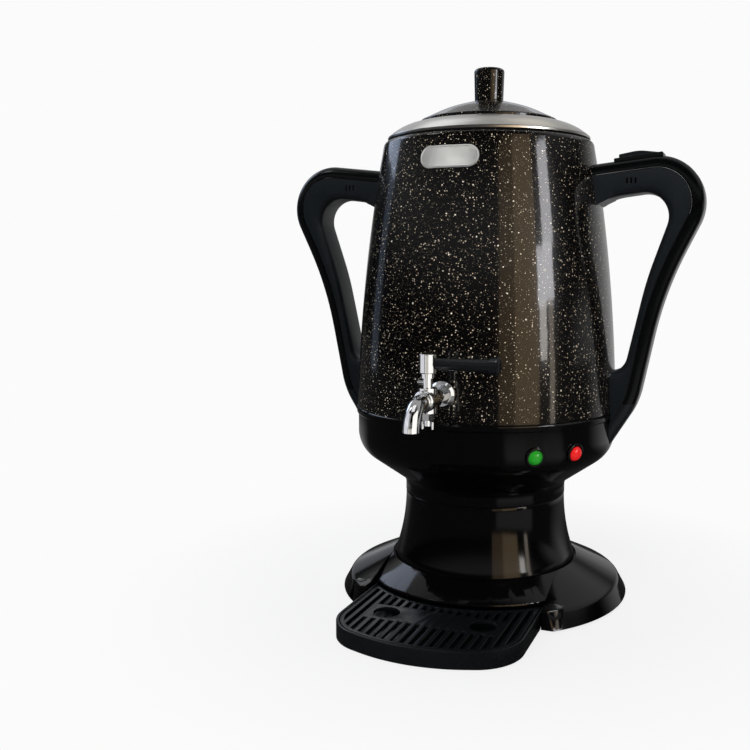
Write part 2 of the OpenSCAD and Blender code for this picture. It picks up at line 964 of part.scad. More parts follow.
// Indicator lamps

lens_low = -3.5;
lens_top = 2;
lens_dome_h = 1.4;
lens_dome_r = (pow(lens_r, 2) + pow(lens_dome_h, 2)) / (2 * lens_dome_h);

module lens() {
    intersection() {
        post(lens_r, lens_low, lens_top + 1);
        translate([0, 0, lens_top - lens_dome_r])
            sphere(lens_dome_r, $fn = 180);
    }
}

module green_lens() {
    color("#2f9e2f") at_lamp(green_angle) lens();
}

module red_lens() {
    color("#d8241f") at_lamp(red_angle) lens();
}

module lamp_bezels() {
    color(gloss_black)
        for (a = [green_angle, red_angle])
            difference() {
                union() {
                    difference() {
                        at_lamp(a) revolved([
                            [0, -1.4, 0],
                            [lamp_flange_r, -1.4, 0],
                            [lamp_flange_r, 1.5, 1],
                            [0, 1.5, 0]
                        ]);
                        collar_space(fit_gap);
                    }
                    at_lamp(a) post(lamp_hole_r, -lamp_neck_l, 1);
                }
                at_lamp(a) post(lens_r + fit_gap, lens_low - fit_gap, 5);
                at_lamp(a) post(lens_r - 1, -lamp_neck_l - 1, 5);
            }
}

module lamp_holders() {
    color("#e8e2d4")
        for (a = [green_angle, red_angle])
            at_lamp(a) {
                post(lens_r - 1 - fit_gap, -lamp_neck_l - 1, lens_low - fit_gap);
                post(lens_r, -lamp_neck_l - 11, -lamp_neck_l - fit_gap);
                for (x = [-2.4, 2.4])
                    block([x - 0.4, -1.4, -lamp_neck_l - 18], [x + 0.4, 1.4, -lamp_neck_l - 10]);
            }
}

// Handles

module rim_section(thickness, grow) {
    rounded(inset([
        [0, -rim_depth / 2, rim_round],
        [thickness, -rim_depth / 2, 0],
        [thickness, rim_depth / 2, 0],
        [0, rim_depth / 2, rim_round]
    ], -grow));
}

// The rounded rim along a handle's outer edge, between two corners of its outline
module handle_rim(first, last, thickness) {
    outline = handle_outer();
    rotate([90, 0, 0])
        for (i = [first:last - 1]) {
            swept_edge(outline, i, rim_lap) rim_section(thickness, 0);
            if (outline[i].z > 0)
                swept_corner(outline, i) rim_section(thickness, rim_proud);
        }
}

module handle_face() {
    difference() {
        rounded(inset(handle_outer(), strip_t + fit_gap));
        rounded(handle_hole());
    }
}

module handle_core() {
    difference() {
        union() {
            slab(handle_depth) handle_face();
            intersection() {
                slab(handle_depth + 2 * handle_flange_out) handle_face();
                tank_space(handle_flange_t);
                block([0, -handle_depth, z_tank + tank_h / 2], [2 * tank_top_r, handle_depth, z_top]);
            }
            intersection() {
                handle_rim(2, 4, strip_t + 1);
                block([0, -handle_depth, z_neck], [2 * tank_base_r, handle_depth, strip_end_z - fit_gap]);
            }
        }
        tank_space(fit_gap);
        collar_space(fit_gap);
        post(seat_r + fit_gap, z_collar - fit_gap, z_tank + fit_gap);
        for (z = tab_heights) {
            tab(z, fit_gap);
            screw_hole(z);
        }
        for (i = [0:2])
            translate([dimple_x + i * dimple_pitch, -handle_depth / 2, dimple_z])
                block([0, -1, 0], [1.2, 0.6, 4]);
    }
}

// A steel tab on the tank's wall, that a handle's end slips over
module tab(z, gap) {
    block(
        [tank_r(z) - 5, -tab_t / 2 - gap, z - tab_h / 2 - gap],
        [tank_r(z) + tab_l + gap, tab_t / 2 + gap, z + tab_h / 2 + gap]
    );
}

module screw_hole(z) {
    translate([tank_r(z) + tab_l / 2, 0, 0]) {
        bar_y(handle_screw_r + fit_gap, -handle_depth / 2 + 5, handle_depth, z);
        bar_y(
            handle_screw_head_r + fit_gap, handle_depth / 2 - handle_screw_head_h - 0.5, handle_depth, z
        );
    }
}

module handle_strip() {
    difference() {
        handle_rim(3, 6, strip_t);
        tank_space(fit_gap);
        block([0, -handle_depth, z_neck], [2 * tank_base_r, handle_depth, strip_end_z]);
    }
}

// Recess for the switch's frame and the shaft for its body
module switch_room() {
    at_switch() {
        block(
            [-switch_l / 2 - fit_gap, -switch_w / 2 - fit_gap, -frame_t - fit_gap],
            [switch_l / 2 + fit_gap, switch_w / 2 + fit_gap, 20]
        );
        block(
            [-switch_l / 2 + 2, -switch_w / 2 + 2, switch_body_top - switch_body_h - fit_gap],
            [switch_l / 2 - 2, switch_w / 2 - 2, 20]
        );
    }
}

module left_handle() {
    color(satin_black) mirror([1, 0, 0]) handle_core();
}

module right_handle() {
    color(satin_black)
        difference() {
            handle_core();
            switch_room();
        }
}

module left_strip() {
    color(gloss_black) mirror([1, 0, 0]) handle_strip();
}

module right_strip() {
    color(gloss_black)
        difference() {
            handle_strip();
            switch_room();
        }
}

module handle_tabs() {
    color(steel)
        for (s = [0, 1], z = tab_heights)
            mirror([s, 0, 0])
                difference() {
                    tab(z, 0);
                    tank_space(0);
                    translate([tank_r(z) + tab_l / 2, 0, 0])
                        bar_y(handle_screw_r + fit_gap, -handle_depth, handle_depth, z);
                }
}

module handle_screws() {
    color(steel)
        for (s = [0, 1], z = tab_heights)
            mirror([s, 0, 0])
                translate([tank_r(z) + tab_l / 2, 0, 0]) {
                    bar_y(handle_screw_r, -handle_depth / 2 + 6, handle_depth / 2 - 1, z);
                    bar_y(
                        handle_screw_head_r,
                        handle_depth / 2 - handle_screw_head_h - 0.5, handle_depth / 2 - 0.5, z
                    );
                }
}

module switch_frame() {
    color(gloss_black)
        at_switch()
            difference() {
                block([-switch_l / 2, -switch_w / 2, -frame_t], [switch_l / 2, switch_w / 2, switch_lip]);
                block(
                    [-rocker_l / 2 - run_gap, -rocker_w / 2 - run_gap, -20],
                    [rocker_l / 2 + run_gap, rocker_w / 2 + run_gap, 20]
                );
                bar_y(
                    pivot_r + turn_gap,
                    -rocker_w / 2 - pivot_l - run_gap, rocker_w / 2 + pivot_l + run_gap, pivot_z
                );
            }
}

module switch_rocker() {
    color(satin_black)
        at_switch()
            translate([0, 0, pivot_z])
                rotate([0, rocker_tilt, 0]) {
                    slab(rocker_w)
                        rounded([
                            [-rocker_l / 2 + 1.2, rocker_low - pivot_z, 0],
                            [rocker_l / 2 - 1.2, rocker_low - pivot_z, 0],
                            [rocker_l / 2, rocker_end - pivot_z, 1.4],
                            [0, rocker_top - pivot_z, 30],
                            [-rocker_l / 2, rocker_end - pivot_z, 1.4]
                        ]);
                    bar_y(pivot_r, -rocker_w / 2 - pivot_l, rocker_w / 2 + pivot_l, 0);
                }
}

module switch_body() {
    color("#e8e2d4")
        at_switch()
            block(
                [-switch_l / 2 + 2 + fit_gap, -switch_w / 2 + 2 + fit_gap, switch_body_top - switch_body_h],
                [switch_l / 2 - 2 - fit_gap, switch_w / 2 - 2 - fit_gap, switch_body_top]
            );
}

// Tap

module tap_body() {
    tail_end = tap_wall_r - tank_wall - gasket_t - nut_t - 2;
    color(chrome)
        difference() {
            union() {
                bar_y(tap_tail_r, -tap_shoulder_y - 1, -tail_end, tap_z);
                bar_y(tap_neck_r, key_y, -tap_shoulder_y, tap_z);
                bar_y(tap_tail_r + 1, -tap_shoulder_y - 2, -tap_shoulder_y, tap_z);
                at_key()
                    translate([0, barrel_half, tap_z])
                        rotate([90, 0, 0])
                            revolved([
                                [0, 0, 0],
                                [barrel_r, 0, barrel_round],
                                [barrel_r, 2 * barrel_half, barrel_round],
                                [0, 2 * barrel_half, 0]
                            ]);
                at_key() post(key_high_r + 1.4, key_low_z, key_high_z);
                bar_y(spout_r, key_y - spout_start, key_y, tap_z);
                spout_bend(spout_r);
            }
            bar_y(water_r, key_y - spout_start, -tail_end + 1, tap_z);
            spout_bend(water_r);
            at_key()
                translate([0, 0, key_low_z - 1])
                    key_cone(turn_gap, 1);
        }
}

// The spout's quarter turn and its short drop
module spout_bend(r) {
    translate([0, key_y - spout_start, tap_z - spout_bend_r])
        rotate([90, 0, -90])
            rotate_extrude(angle = 90)
                translate([spout_bend_r, 0])
                    circle(r);
}

// The key's taper, with a gap round it and stretched past both ends
module key_cone(gap, past) {
    slope = (key_high_r - key_low_r) / (key_high_z - key_low_z);
    cylinder(
        h = key_high_z - key_low_z + 2 * past,
        r1 = key_low_r - slope * past + gap,
        r2 = key_high_r + slope * past + gap
    );
}

module tap_rosette() {
    color(chrome)
        translate([0, -tap_wall_r - gasket_t, tap_z])
            rotate([90, 0, 0])
                difference() {
                    revolved([
                        [0, 0, 0],
                        [rosette_r, 0, 0],
                        [rosette_r, 2, 1.6],
                        [tap_tail_r + 1.6, rosette_t - fit_gap, 0],
                        [0, rosette_t - fit_gap, 0]
                    ]);
                    post(tap_tail_r + fit_gap, -1, rosette_t + 1);
                }
}

module tap_gaskets() {
    color(rubber_black) {
        difference() {
            bar_y(rosette_r - 1, -tap_wall_r - gasket_t, -tap_wall_r + 2, tap_z);
            bar_y(tap_tail_r + fit_gap, -tank_base_r - 10, 0, tap_z);
            tank_space(0.02);
        }
        intersection() {
            difference() {
                bar_y(nut_r - 1, -tap_wall_r - 2, -tap_wall_r + tank_wall + gasket_t + 0.6, tap_z);
                bar_y(tap_tail_r + fit_gap, -tank_base_r - 10, 0, tap_z);
            }
            revolved(inset(tank_outline(-tank_wall, z_tank - 5, z_top), tank_wall + 0.02));
        }
    }
}

module tap_nut() {
    nut_y = -tap_wall_r + tank_wall + gasket_t + 0.6;
    color("#c9a95a")
        difference() {
            translate([0, nut_y, tap_z])
                rotate([-90, 0, 0])
                    cylinder(h = nut_t, r = nut_r, $fn = 6);
            bar_y(tap_tail_r + fit_gap, -tank_base_r, 0, tap_z);
        }
}

module tap_key() {
    color(chrome)
        at_key()
            difference() {
                union() {
                    translate([0, 0, key_low_z])
                        key_cone(0, 0);
                    post(thread_r, thread_low_z, key_low_z + 1);
                    post(stem_r, key_high_z - 1, stem_top + 1);
                    post(key_collar_r, stem_top, head_z + 1);
                    translate([0, 0, head_z])
                        revolved([
                            [0, 0, 0],
                            [key_head_r, 0, 0.6],
                            [key_head_r, head_h, 0.6],
                            [0, head_h, 0]
                        ]);
                    translate([0, 0, key_lug_z])
                        rotate([0, -90, 0])
                            cylinder(h = stem_r + key_lug_l, r = key_lug_r);
                }
                translate([0, 0, tap_z])
                    rotate([0, 90, 0])
                        cylinder(h = 4 * key_high_r, r = water_r - 0.8, center = true);
                translate([0, 0, lever_z])
                    rotate([0, 90, 0])
                        cylinder(h = 2 * key_head_r, r = lever_stub_r + fit_gap);
                translate([0, 0, pin_z])
                    rotate([0, 90, 0])
                        cylinder(h = 4 * thread_r, r = pin_r + fit_gap, center = true);
            }
}

lever_root_r = 3.6;
lever_tip_r = 4.6;
lever_cap_l = 6;

module tap_lever() {
    color(satin_black)
        at_key()
            translate([0, 0, lever_z])
                rotate([0, 90, 0])
                    revolved([
                        [0, 0.5, 0],
                        [lever_stub_r, 0.5, 0],
                        [lever_stub_r, key_head_r + fit_gap, 0],
                        [lever_root_r, key_head_r + fit_gap, 0],
                        [lever_tip_r, lever_l - lever_cap_l, 0],
                        [lever_cap_r, lever_l - lever_cap_l, 0.8],
                        [lever_cap_r, lever_l, 2],
                        [0, lever_l, 0]
                    ]);
}

module key_nut() {
    color(chrome)
        at_key()
            difference() {
                translate([0, 0, key_low_z - run_gap - key_nut_h])
                    cylinder(h = key_nut_h, r = key_nut_r, $fn = 6);
                post(thread_r + fit_gap, thread_low_z - 5, key_low_z + 1);
            }
}

module key_pin() {
    pin_half = thread_r + 1.2;
    color(chrome)
        at_key() {
            translate([0, 0, pin_z])
                rotate([0, 90, 0])
                    cylinder(h = 2 * pin_half, r = pin_r, center = true);
            for (s = [-1, 1])
                translate([s * pin_half, 0, 0])
                    post(pin_r, pin_z - 4, pin_z + pin_r);
        }
}

// Drip tray and grille

module drip_tray() {
    color("#2a2d31")
        difference() {
            union() {
                translate([0, 0, tray_rest])
                    linear_extrude(tray_top - tray_rest)
                        rounded(tray_outline(tray_back));
                translate([0, 0, tray_gap])
                    linear_extrude(tray_top - tray_gap)
                        rounded(tray_outline(tray_step));
            }
            translate([0, 0, ledge_z])
                linear_extrude(tray_top)
                    rounded(inset(tray_outline(tray_back), tray_wall));
            difference() {
                union() {
                    translate([0, 0, tray_rest + tray_floor_t])
                        linear_extrude(tray_top)
                            rounded(inset(tray_outline(tray_back), tray_wall + ledge_w));
                    translate([0, 0, tray_gap + tray_floor_t])
                        linear_extrude(tray_top)
                            rounded(inset(tray_outline(tray_step), tray_wall + ledge_w));
                }
                tube(grille_back_r + 2.4, grille_back_r + 0.4, 0, ledge_z);
            }
        }
}

module grille_outline(edge) {
    difference() {
        rounded(inset(tray_outline(tray_back), tray_wall + run_gap + edge));
        circle(grille_back_r + edge);
    }
}

// Slots across the grille, but for a plain band with the lift holes
module grille_slots() {
    slot_room = tray_w / 2 - tray_wall - run_gap - grille_rim - slot_w / 2;
    slot_count = floor(slot_room / slot_pitch);
    band_half = cup_hole_r + cup_rim;
    difference() {
        for (i = [-slot_count:slot_count])
            translate([i * slot_pitch - slot_w / 2, -tray_reach])
                square([slot_w, tray_reach]);
        translate([-cup_hole_x - band_half, -cup_hole_y - band_half])
            square(2 * [cup_hole_x + band_half, band_half]);
    }
}

module drip_grille() {
    color("#1d2023")
        translate([0, 0, grille_z])
            linear_extrude(grille_t)
                difference() {
                    grille_outline(0);
                    intersection() {
                        grille_outline(grille_rim);
                        grille_slots();
                    }
                    for (s = [-1, 1])
                        translate([s * cup_hole_x, -cup_hole_y])
                            circle(cup_hole_r);
                }
}

body_shell();
tank_floor();
heat_plate();
heating_element();
thermostat();
thermal_cutout();
teapot_ring();
ring_seal();
lid_dome();
lid_knob();
lid_screw();
seat_ring();
collar();
pedestal();
foot();
base_plate();
foot_ring();
base_screws();
tie_bolts();
terminal_block();
cord_gland();
green_lens();
red_lens();
lamp_bezels();
lamp_holders();
left_handle();
right_handle();
left_strip();
right_strip();
handle_tabs();
handle_screws();
switch_frame();
switch_rocker();
switch_body();
tap_body();
tap_rosette();
tap_gaskets();
tap_nut();
tap_key();
tap_lever();
key_nut();
key_pin();
drip_tray();
drip_grille();
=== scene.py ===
"""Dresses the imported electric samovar: finishes for every piece, trim, light, floor and camera."""

import logging
import math
from collections.abc import Callable
from dataclasses import dataclass
from enum import Enum
from typing import Any

import bmesh
import bpy
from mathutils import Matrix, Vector


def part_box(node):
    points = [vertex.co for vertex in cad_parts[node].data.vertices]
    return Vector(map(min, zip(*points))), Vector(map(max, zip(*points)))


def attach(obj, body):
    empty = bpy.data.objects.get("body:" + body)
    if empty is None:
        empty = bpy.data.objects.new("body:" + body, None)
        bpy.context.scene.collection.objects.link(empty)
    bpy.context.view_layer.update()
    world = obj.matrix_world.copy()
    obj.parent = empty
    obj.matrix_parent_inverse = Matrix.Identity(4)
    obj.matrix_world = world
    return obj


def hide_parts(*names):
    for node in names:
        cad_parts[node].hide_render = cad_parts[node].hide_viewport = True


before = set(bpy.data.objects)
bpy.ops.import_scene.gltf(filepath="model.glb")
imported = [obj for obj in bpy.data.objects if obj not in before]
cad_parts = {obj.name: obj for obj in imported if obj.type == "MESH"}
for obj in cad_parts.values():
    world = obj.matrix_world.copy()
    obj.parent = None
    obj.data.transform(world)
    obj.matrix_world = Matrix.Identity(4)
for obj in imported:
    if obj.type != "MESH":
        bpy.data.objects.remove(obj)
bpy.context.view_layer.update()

log = logging.getLogger("samovar")
Tree = bpy.types.NodeTree
Socket = bpy.types.NodeSocket
Colour = tuple[float, float, float, float]
Way = tuple[float, float, float]
Range = tuple[float, float]

MM = 0.001
WELD_MM = 0.01  # Corners closer than this are one corner.
FLAT_DEG = 0.3  # Faces that bend less than this are one face.
SMOOTH_DEG = 32.0  # Edges that bend less than this are shaded smooth.
SHARP_DEG = 38.0  # Edges that stand out by more than this are rounded.
MIX_FROM, MIX_TO, MIX_RESULT = 6, 7, 2  # Sockets of a Mix node that holds colours.


def linear(code: str) -> Colour:
    """Turn an sRGB hex colour into linear light.

    Args:
        code: Colour such as "#1a1a1c".

    Returns:
        Red, green, blue and an alpha of 1, in linear light.
    """
    parts = [int(code[i : i + 2], 16) / 255 for i in (1, 3, 5)]
    light = [c / 12.92 if c <= 0.04045 else ((c + 0.055) / 1.055) ** 2.4 for c in parts]
    return light[0], light[1], light[2], 1.0


def per_metre(size_mm: float) -> float:
    """Texture scale that gives one cell for each size_mm."""
    return 1.0 / (size_mm * MM)


def add(tree: Tree, kind: str, sockets: dict | None = None, **settings: Any) -> bpy.types.Node:
    """Add a node with its settings, values and links.

    Args:
        tree: Node tree that gets the node.
        kind: Node type without the words ShaderNode.
        sockets: Input name or number to a value, or to an output socket that is linked to it.
        settings: Properties of the node.

    Returns:
        The new node.
    """
    node = tree.nodes.new("ShaderNode" + kind)
    for name, value in settings.items():
        setattr(node, name, value)
    for key, value in (sockets or {}).items():
        if isinstance(value, Socket):
            tree.links.new(value, node.inputs[key])
        else:
            node.inputs[key].default_value = value
    return node


@dataclass(frozen=True)
class Finish:
    """A surface finish that makes one material."""

    name: str

    def shade(self, tree: Tree, place: Socket) -> bpy.types.Node:
        """Add the finish's nodes and return its shader node."""
        raise NotImplementedError

    def material(self) -> bpy.types.Material:
        """Make the material, or return it if it is there already.

        Returns:
            The material of this finish.
        """
        known = bpy.data.materials.get(self.name)
        if known:
            return known
        made = bpy.data.materials.new(self.name)
        made.use_nodes = True
        tree = made.node_tree
        tree.nodes.clear()
        place = add(tree, "TexCoord").outputs["Object"]
        shader = self.shade(tree, place)
        add(tree, "OutputMaterial", {"Surface": shader.outputs[0]})
        return made


@dataclass(frozen=True)
class Speck:
    """One grade of mineral speck, with its largest radius in cells and the share of cells that hold one."""

    colour: str
    cell_mm: float
    reach: float
    share: float


@dataclass(frozen=True)
class GraniteEnamel(Finish):
    """Stove enamel with mineral flecks under a clear coat: deep black, cream specks, mirror-like gloss."""

    base: str = "#070606"
    dust: Speck = Speck("#746c5e", cell_mm=0.9, reach=0.36, share=0.42)
    fleck: Speck = Speck("#d6cab2", cell_mm=1.45, reach=0.31, share=0.38)
    chip: Speck = Speck("#fff6e6", cell_mm=3.6, reach=0.17, share=0.42)
    least_reach: float = 0.35
    speck_edge: Range = (-0.02, 0.05)
    tear_mm: float = 1.1
    drift_mm: float = 26.0
    drift: Range = (0.35, 0.65)
    thin_dust: float = 0.45
    roughness: float = 0.25
    under_gloss: float = 0.15
    coat_roughness: float = 0.07
    wave_mm: float = 11.0
    wave_high_mm: float = 0.05
    peel_mm: float = 2.6
    peel_high_mm: float = 0.008

    def specks(self, tree: Tree, place: Socket, grade: Speck) -> Socket:
        """Scatter specks of one grade, one or none in each cell.

        Args:
            tree: The material's node tree.
            place: Coordinates in metres.
            grade: Size and share of the specks.

        Returns:
            Socket that is 1 on a speck and 0 beside it.
        """
        cells = add(tree, "TexVoronoi", {"Vector": place, "Scale": per_metre(grade.cell_mm)})
        chance = add(tree, "SeparateColor", {0: cells.outputs["Color"]})
        kept = add(tree, "Math", {0: chance.outputs[0], 1: grade.share}, operation="LESS_THAN")
        radius = add(
            tree,
            "MapRange",
            {"Value": chance.outputs[1], "To Min": self.least_reach * grade.reach, "To Max": grade.reach},
        )
        sockets = {0: radius.outputs[0], 1: cells.outputs["Distance"]}
        inside = add(tree, "Math", sockets, operation="SUBTRACT")
        low, high = self.speck_edge
        edge = add(tree, "MapRange", {"Value": inside.outputs[0], "From Min": low, "From Max": high})
        return add(tree, "Math", {0: edge.outputs[0], 1: kept.outputs[0]}, operation="MULTIPLY").outputs[0]

    def shade(self, tree: Tree, place: Socket) -> bpy.types.Node:
        """Layer dust, flecks and chips over the black, with a clear coat.

        Args:
            tree: The material's node tree.
            place: Object coordinates, in metres.

        Returns:
            The shader node.
        """
        wobble = add(tree, "TexNoise", {"Vector": place, "Scale": per_metre(self.tear_mm), "Detail": 3.0})
        sockets = {0: wobble.outputs["Color"], 1: (0.5, 0.5, 0.5)}
        centred = add(tree, "VectorMath", sockets, operation="SUBTRACT")
        sockets = {0: centred.outputs[0], "Scale": self.tear_mm * MM}
        shift = add(tree, "VectorMath", sockets, operation="SCALE")
        torn = add(tree, "VectorMath", {0: place, 1: shift.outputs[0]}, operation="ADD").outputs[0]
        drift = add(tree, "TexNoise", {"Vector": place, "Scale": per_metre(self.drift_mm), "Detail": 3.0})
        low, high = self.drift
        thick = add(
            tree,
            "MapRange",
            {"Value": drift.outputs["Fac"], "From Min": low, "From Max": high, "To Min": self.thin_dust},
        )
        dust = self.specks(tree, torn, self.dust)
        dusted = add(tree, "Math", {0: dust, 1: thick.outputs[0]}, operation="MULTIPLY").outputs[0]
        fleck = self.specks(tree, torn, self.fleck)
        chip = self.specks(tree, torn, self.chip)
        waves = add(tree, "TexNoise", {"Vector": place, "Scale": per_metre(self.wave_mm), "Detail": 2.0})
        peel = add(tree, "TexNoise", {"Vector": place, "Scale": per_metre(self.peel_mm), "Detail": 2.0})
        sockets = {"Height": peel.outputs["Fac"], "Strength": 1.0, "Distance": self.peel_high_mm * MM}
        pitted = add(tree, "Bump", sockets)
        sockets = {"Height": waves.outputs["Fac"], "Strength": 1.0, "Distance": self.wave_high_mm * MM}
        skin = add(tree, "Bump", sockets | {"Normal": pitted.outputs[0]})
        colour = linear(self.base)
        for grade, cover in ((self.dust, dusted), (self.fleck, fleck), (self.chip, chip)):
            sockets = {0: cover, MIX_FROM: colour, MIX_TO: linear(grade.colour)}
            colour = add(tree, "Mix", sockets, data_type="RGBA").outputs[MIX_RESULT]
        return add(
            tree,
            "BsdfPrincipled",
            {
                "Base Color": colour,
                "Roughness": self.roughness,
                "Specular IOR Level": self.under_gloss,
                "Normal": skin.outputs[0],
                "Coat Weight": 1.0,
                "Coat Roughness": self.coat_roughness,
                "Coat Normal": skin.outputs[0],
            },
        )


@dataclass(frozen=True)
class MouldedPlastic(Finish):
    """Injection-moulded plastic: even colour, faint flow waviness and a little dust in the gloss.

    A moulding tool's grain is too fine to show, so it is drawn at about half a millimetre.
    """

    colour: str = "#050506"
    roughness: float = 0.1
    spread: float = 0.03
    grain_depth: float = 0.0
    grain_mm: float = 0.5
    grain_high_mm: float = 0.1
    wave_mm: float = 45.0
    waves: Range = (0.3, 0.7)
    tones: Range = (0.85, 1.2)

    def shade(self, tree: Tree, place: Socket) -> bpy.types.Node:
        """Vary the gloss a little and, on a grained tool, add its grain.

        Args:
            tree: The material's node tree.
            place: Object coordinates, in metres.

        Returns:
            The shader node.
        """
        cloud = add(tree, "TexNoise", {"Vector": place, "Scale": per_metre(self.wave_mm), "Detail": 4.0})
        low, high = self.waves
        gloss = add(
            tree,
            "MapRange",
            {
                "Value": cloud.outputs["Fac"],
                "From Min": low,
                "From Max": high,
                "To Min": self.roughness - self.spread,
                "To Max": self.roughness + self.spread,
            },
        )
        dark, light = self.tones
        lift = add(tree, "MapRange", {"Value": cloud.outputs["Fac"], "To Min": dark, "To Max": light})
        tone = add(tree, "HueSaturation", {"Color": linear(self.colour), "Value": lift.outputs[0]})
        grain = add(tree, "TexNoise", {"Vector": place, "Scale": per_metre(self.grain_mm), "Detail": 3.0})
        bump = add(
            tree,
            "Bump",
            {
                "Height": grain.outputs["Fac"],
                "Strength": self.grain_depth,
                "Distance": self.grain_high_mm * MM,
            },
        )
        return add(
            tree,
            "BsdfPrincipled",
            {"Base Color": tone.outputs[0], "Roughness": gloss.outputs[0], "Normal": bump.outputs[0]},
        )


@dataclass(frozen=True)
class SpunSteel(Finish):
    """Stainless sheet brushed on a lathe: fine rings round the axis that stretch the highlights.

    Real brush lines are too fine to show, so they are drawn a third of a millimetre apart.
    """

    colour: str = "#b9b8b4"
    roughness: float = 0.3
    polish: float = 0.1
    scour: float = 0.12
    tones: Range = (0.88, 1.08)
    line_mm: float = 0.35
    line_depth: float = 0.12
    line_high_mm: float = 0.05

    def shade(self, tree: Tree, place: Socket) -> bpy.types.Node:
        """Draw the brush lines by their distance from the axis.

        Args:
            tree: The material's node tree.
            place: Object coordinates, in metres.

        Returns:
            The shader node.
        """
        flat = add(tree, "VectorMath", {0: place, 1: (1.0, 1.0, 0.0)}, operation="MULTIPLY")
        away = add(tree, "VectorMath", {0: flat.outputs[0]}, operation="LENGTH")
        rise = add(tree, "SeparateXYZ", {0: place})
        rings = add(tree, "CombineXYZ", {0: away.outputs["Value"], 1: rise.outputs[2]})
        sockets = {"Vector": rings.outputs[0], "Scale": per_metre(self.line_mm), "Detail": 2.0}
        lines = add(tree, "TexNoise", sockets).outputs["Fac"]
        low, high = self.roughness - self.polish, self.roughness + self.scour
        gloss = add(tree, "MapRange", {"Value": lines, "To Min": low, "To Max": high})
        dark, light = self.tones
        lift = add(tree, "MapRange", {"Value": lines, "To Min": dark, "To Max": light})
        tone = add(tree, "HueSaturation", {"Color": linear(self.colour), "Value": lift.outputs[0]})
        sockets = {"Height": lines, "Strength": self.line_depth, "Distance": self.line_high_mm * MM}
        bump = add(tree, "Bump", sockets)
        return add(
            tree,
            "BsdfPrincipled",
            {
                "Base Color": tone.outputs[0],
                "Metallic": 1.0,
                "Roughness": gloss.outputs[0],
                "Normal": bump.outputs[0],
            },
        )


@dataclass(frozen=True)
class BareMetal(Finish):
    """Plated or plain metal: mirror to satin, with a faint haze from handling."""

    colour: str
    roughness: float
    haze_mm: float = 9.0
    hazes: Range = (0.7, 1.6)
    tones: Range = (0.92, 1.05)

    def shade(self, tree: Tree, place: Socket) -> bpy.types.Node:
        """Haze the polish with a soft cloud.

        Args:
            tree: The material's node tree.
            place: Object coordinates, in metres.

        Returns:
            The shader node.
        """
        sockets = {"Vector": place, "Scale": per_metre(self.haze_mm), "Detail": 4.0}
        cloud = add(tree, "TexNoise", sockets).outputs["Fac"]
        low, high = (share * self.roughness for share in self.hazes)
        gloss = add(tree, "MapRange", {"Value": cloud, "To Min": low, "To Max": high})
        dark, light = self.tones
        lift = add(tree, "MapRange", {"Value": cloud, "To Min": dark, "To Max": light})
        tone = add(tree, "HueSaturation", {"Color": linear(self.colour), "Value": lift.outputs[0]})
        return add(
            tree,
            "BsdfPrincipled",
            {"Base Color": tone.outputs[0], "Metallic": 1.0, "Roughness": gloss.outputs[0]},
        )


@dataclass(frozen=True)
class LampLens(Finish):
    """Clear dyed lens over a small lamp: bright in the middle, deeper at the rim; the pale middle is the
    lamp's light with a painted highlight.
    """

    colour: str
    core: str
    centre: Way
    glow: float
    fade_mm: Range = (1.86, 6.2)
    roughness: float = 0.12

    def shade(self, tree: Tree, place: Socket) -> bpy.types.Node:
        """Fade from the bright core, lamp light with a painted highlight, to the dyed rim.

        Args:
            tree: The material's node tree.
            place: Object coordinates, in metres.

        Returns:
            The shader node.
        """
        away = add(tree, "VectorMath", {0: place, 1: self.centre}, operation="DISTANCE")
        low, high = (reach * MM for reach in self.fade_mm)
        fade = add(tree, "MapRange", {"Value": away.outputs["Value"], "From Min": low, "From Max": high})
        sockets = {0: fade.outputs[0], MIX_FROM: linear(self.core), MIX_TO: linear(self.colour)}
        dye = add(tree, "Mix", sockets, data_type="RGBA").outputs[MIX_RESULT]
        return add(
            tree,
            "BsdfPrincipled",
            {
                "Base Color": dye,
                "Roughness": self.roughness,
                "Emission Color": dye,
                "Emission Strength": self.glow,
            },
        )


class Body(Enum):
    """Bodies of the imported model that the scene's own pieces ride on."""

    BASE = "base"
    TRAY = "tray"
    GRILLE = "grille"
    ROCKER = "rocker"


class Slot(Enum):
    """Material slots of the record."""

    BLACK_GLOSS = "black_gloss"
    BLACK_SATIN = "black_satin"
    TRAY_BLACK = "tray_black"
    RING_STEEL = "ring_steel"
    LENS_GREEN = "lens_green"
    LENS_RED = "lens_red"


# Fired enamel: black with cream flecks under a coat that mirrors like glass.
ENAMEL = GraniteEnamel("granite_stove_enamel")
# ABS from a polished tool: near black, with sharp reflections.
GLOSS_ABS = MouldedPlastic("gloss_black_abs")
# ABS from a grained tool: blue-black, with a broad soft sheen.
SATIN_ABS = MouldedPlastic("satin_black_abs", "#13171b", roughness=0.36, spread=0.05, grain_depth=0.15)
# ABS from a plain tool: black, with a blurred gloss that shows its long curves.
STRIP_ABS = MouldedPlastic("moulded_black_abs", "#08090a", roughness=0.2, spread=0.04, grain_depth=0.06)
# Pressed phenolic: dark grey, harder and glossier than the grips.
LEVER_PHENOLIC = MouldedPlastic(
    "lever_black_phenolic", "#15171a", roughness=0.24, spread=0.04, grain_depth=0.1
)
# ABS that is wiped often: dark grey, with a dull shine.
TRAY_ABS = MouldedPlastic("tray_black_abs", "#131518", roughness=0.28, spread=0.05, grain_depth=0.12)
# Spun stainless steel: pale grey, with a highlight drawn out round the ring.
RING_STEEL = SpunSteel("spun_stainless_steel", "#e0ded8")
# Nickel with a satin finish: pale, and it takes the room's light evenly.
BADGE_STEEL = BareMetal("satin_nickel_plate", "#dfdfdc", roughness=0.42)
# Chrome plate: a mirror of bright and dark panels.
CHROME = BareMetal("chrome_plate", "#e9e9ea", roughness=0.1)
# Rolled stainless steel: grey, with soft reflections.
TANK_STEEL = BareMetal("rolled_stainless_steel", "#b4b5b6", roughness=0.3)
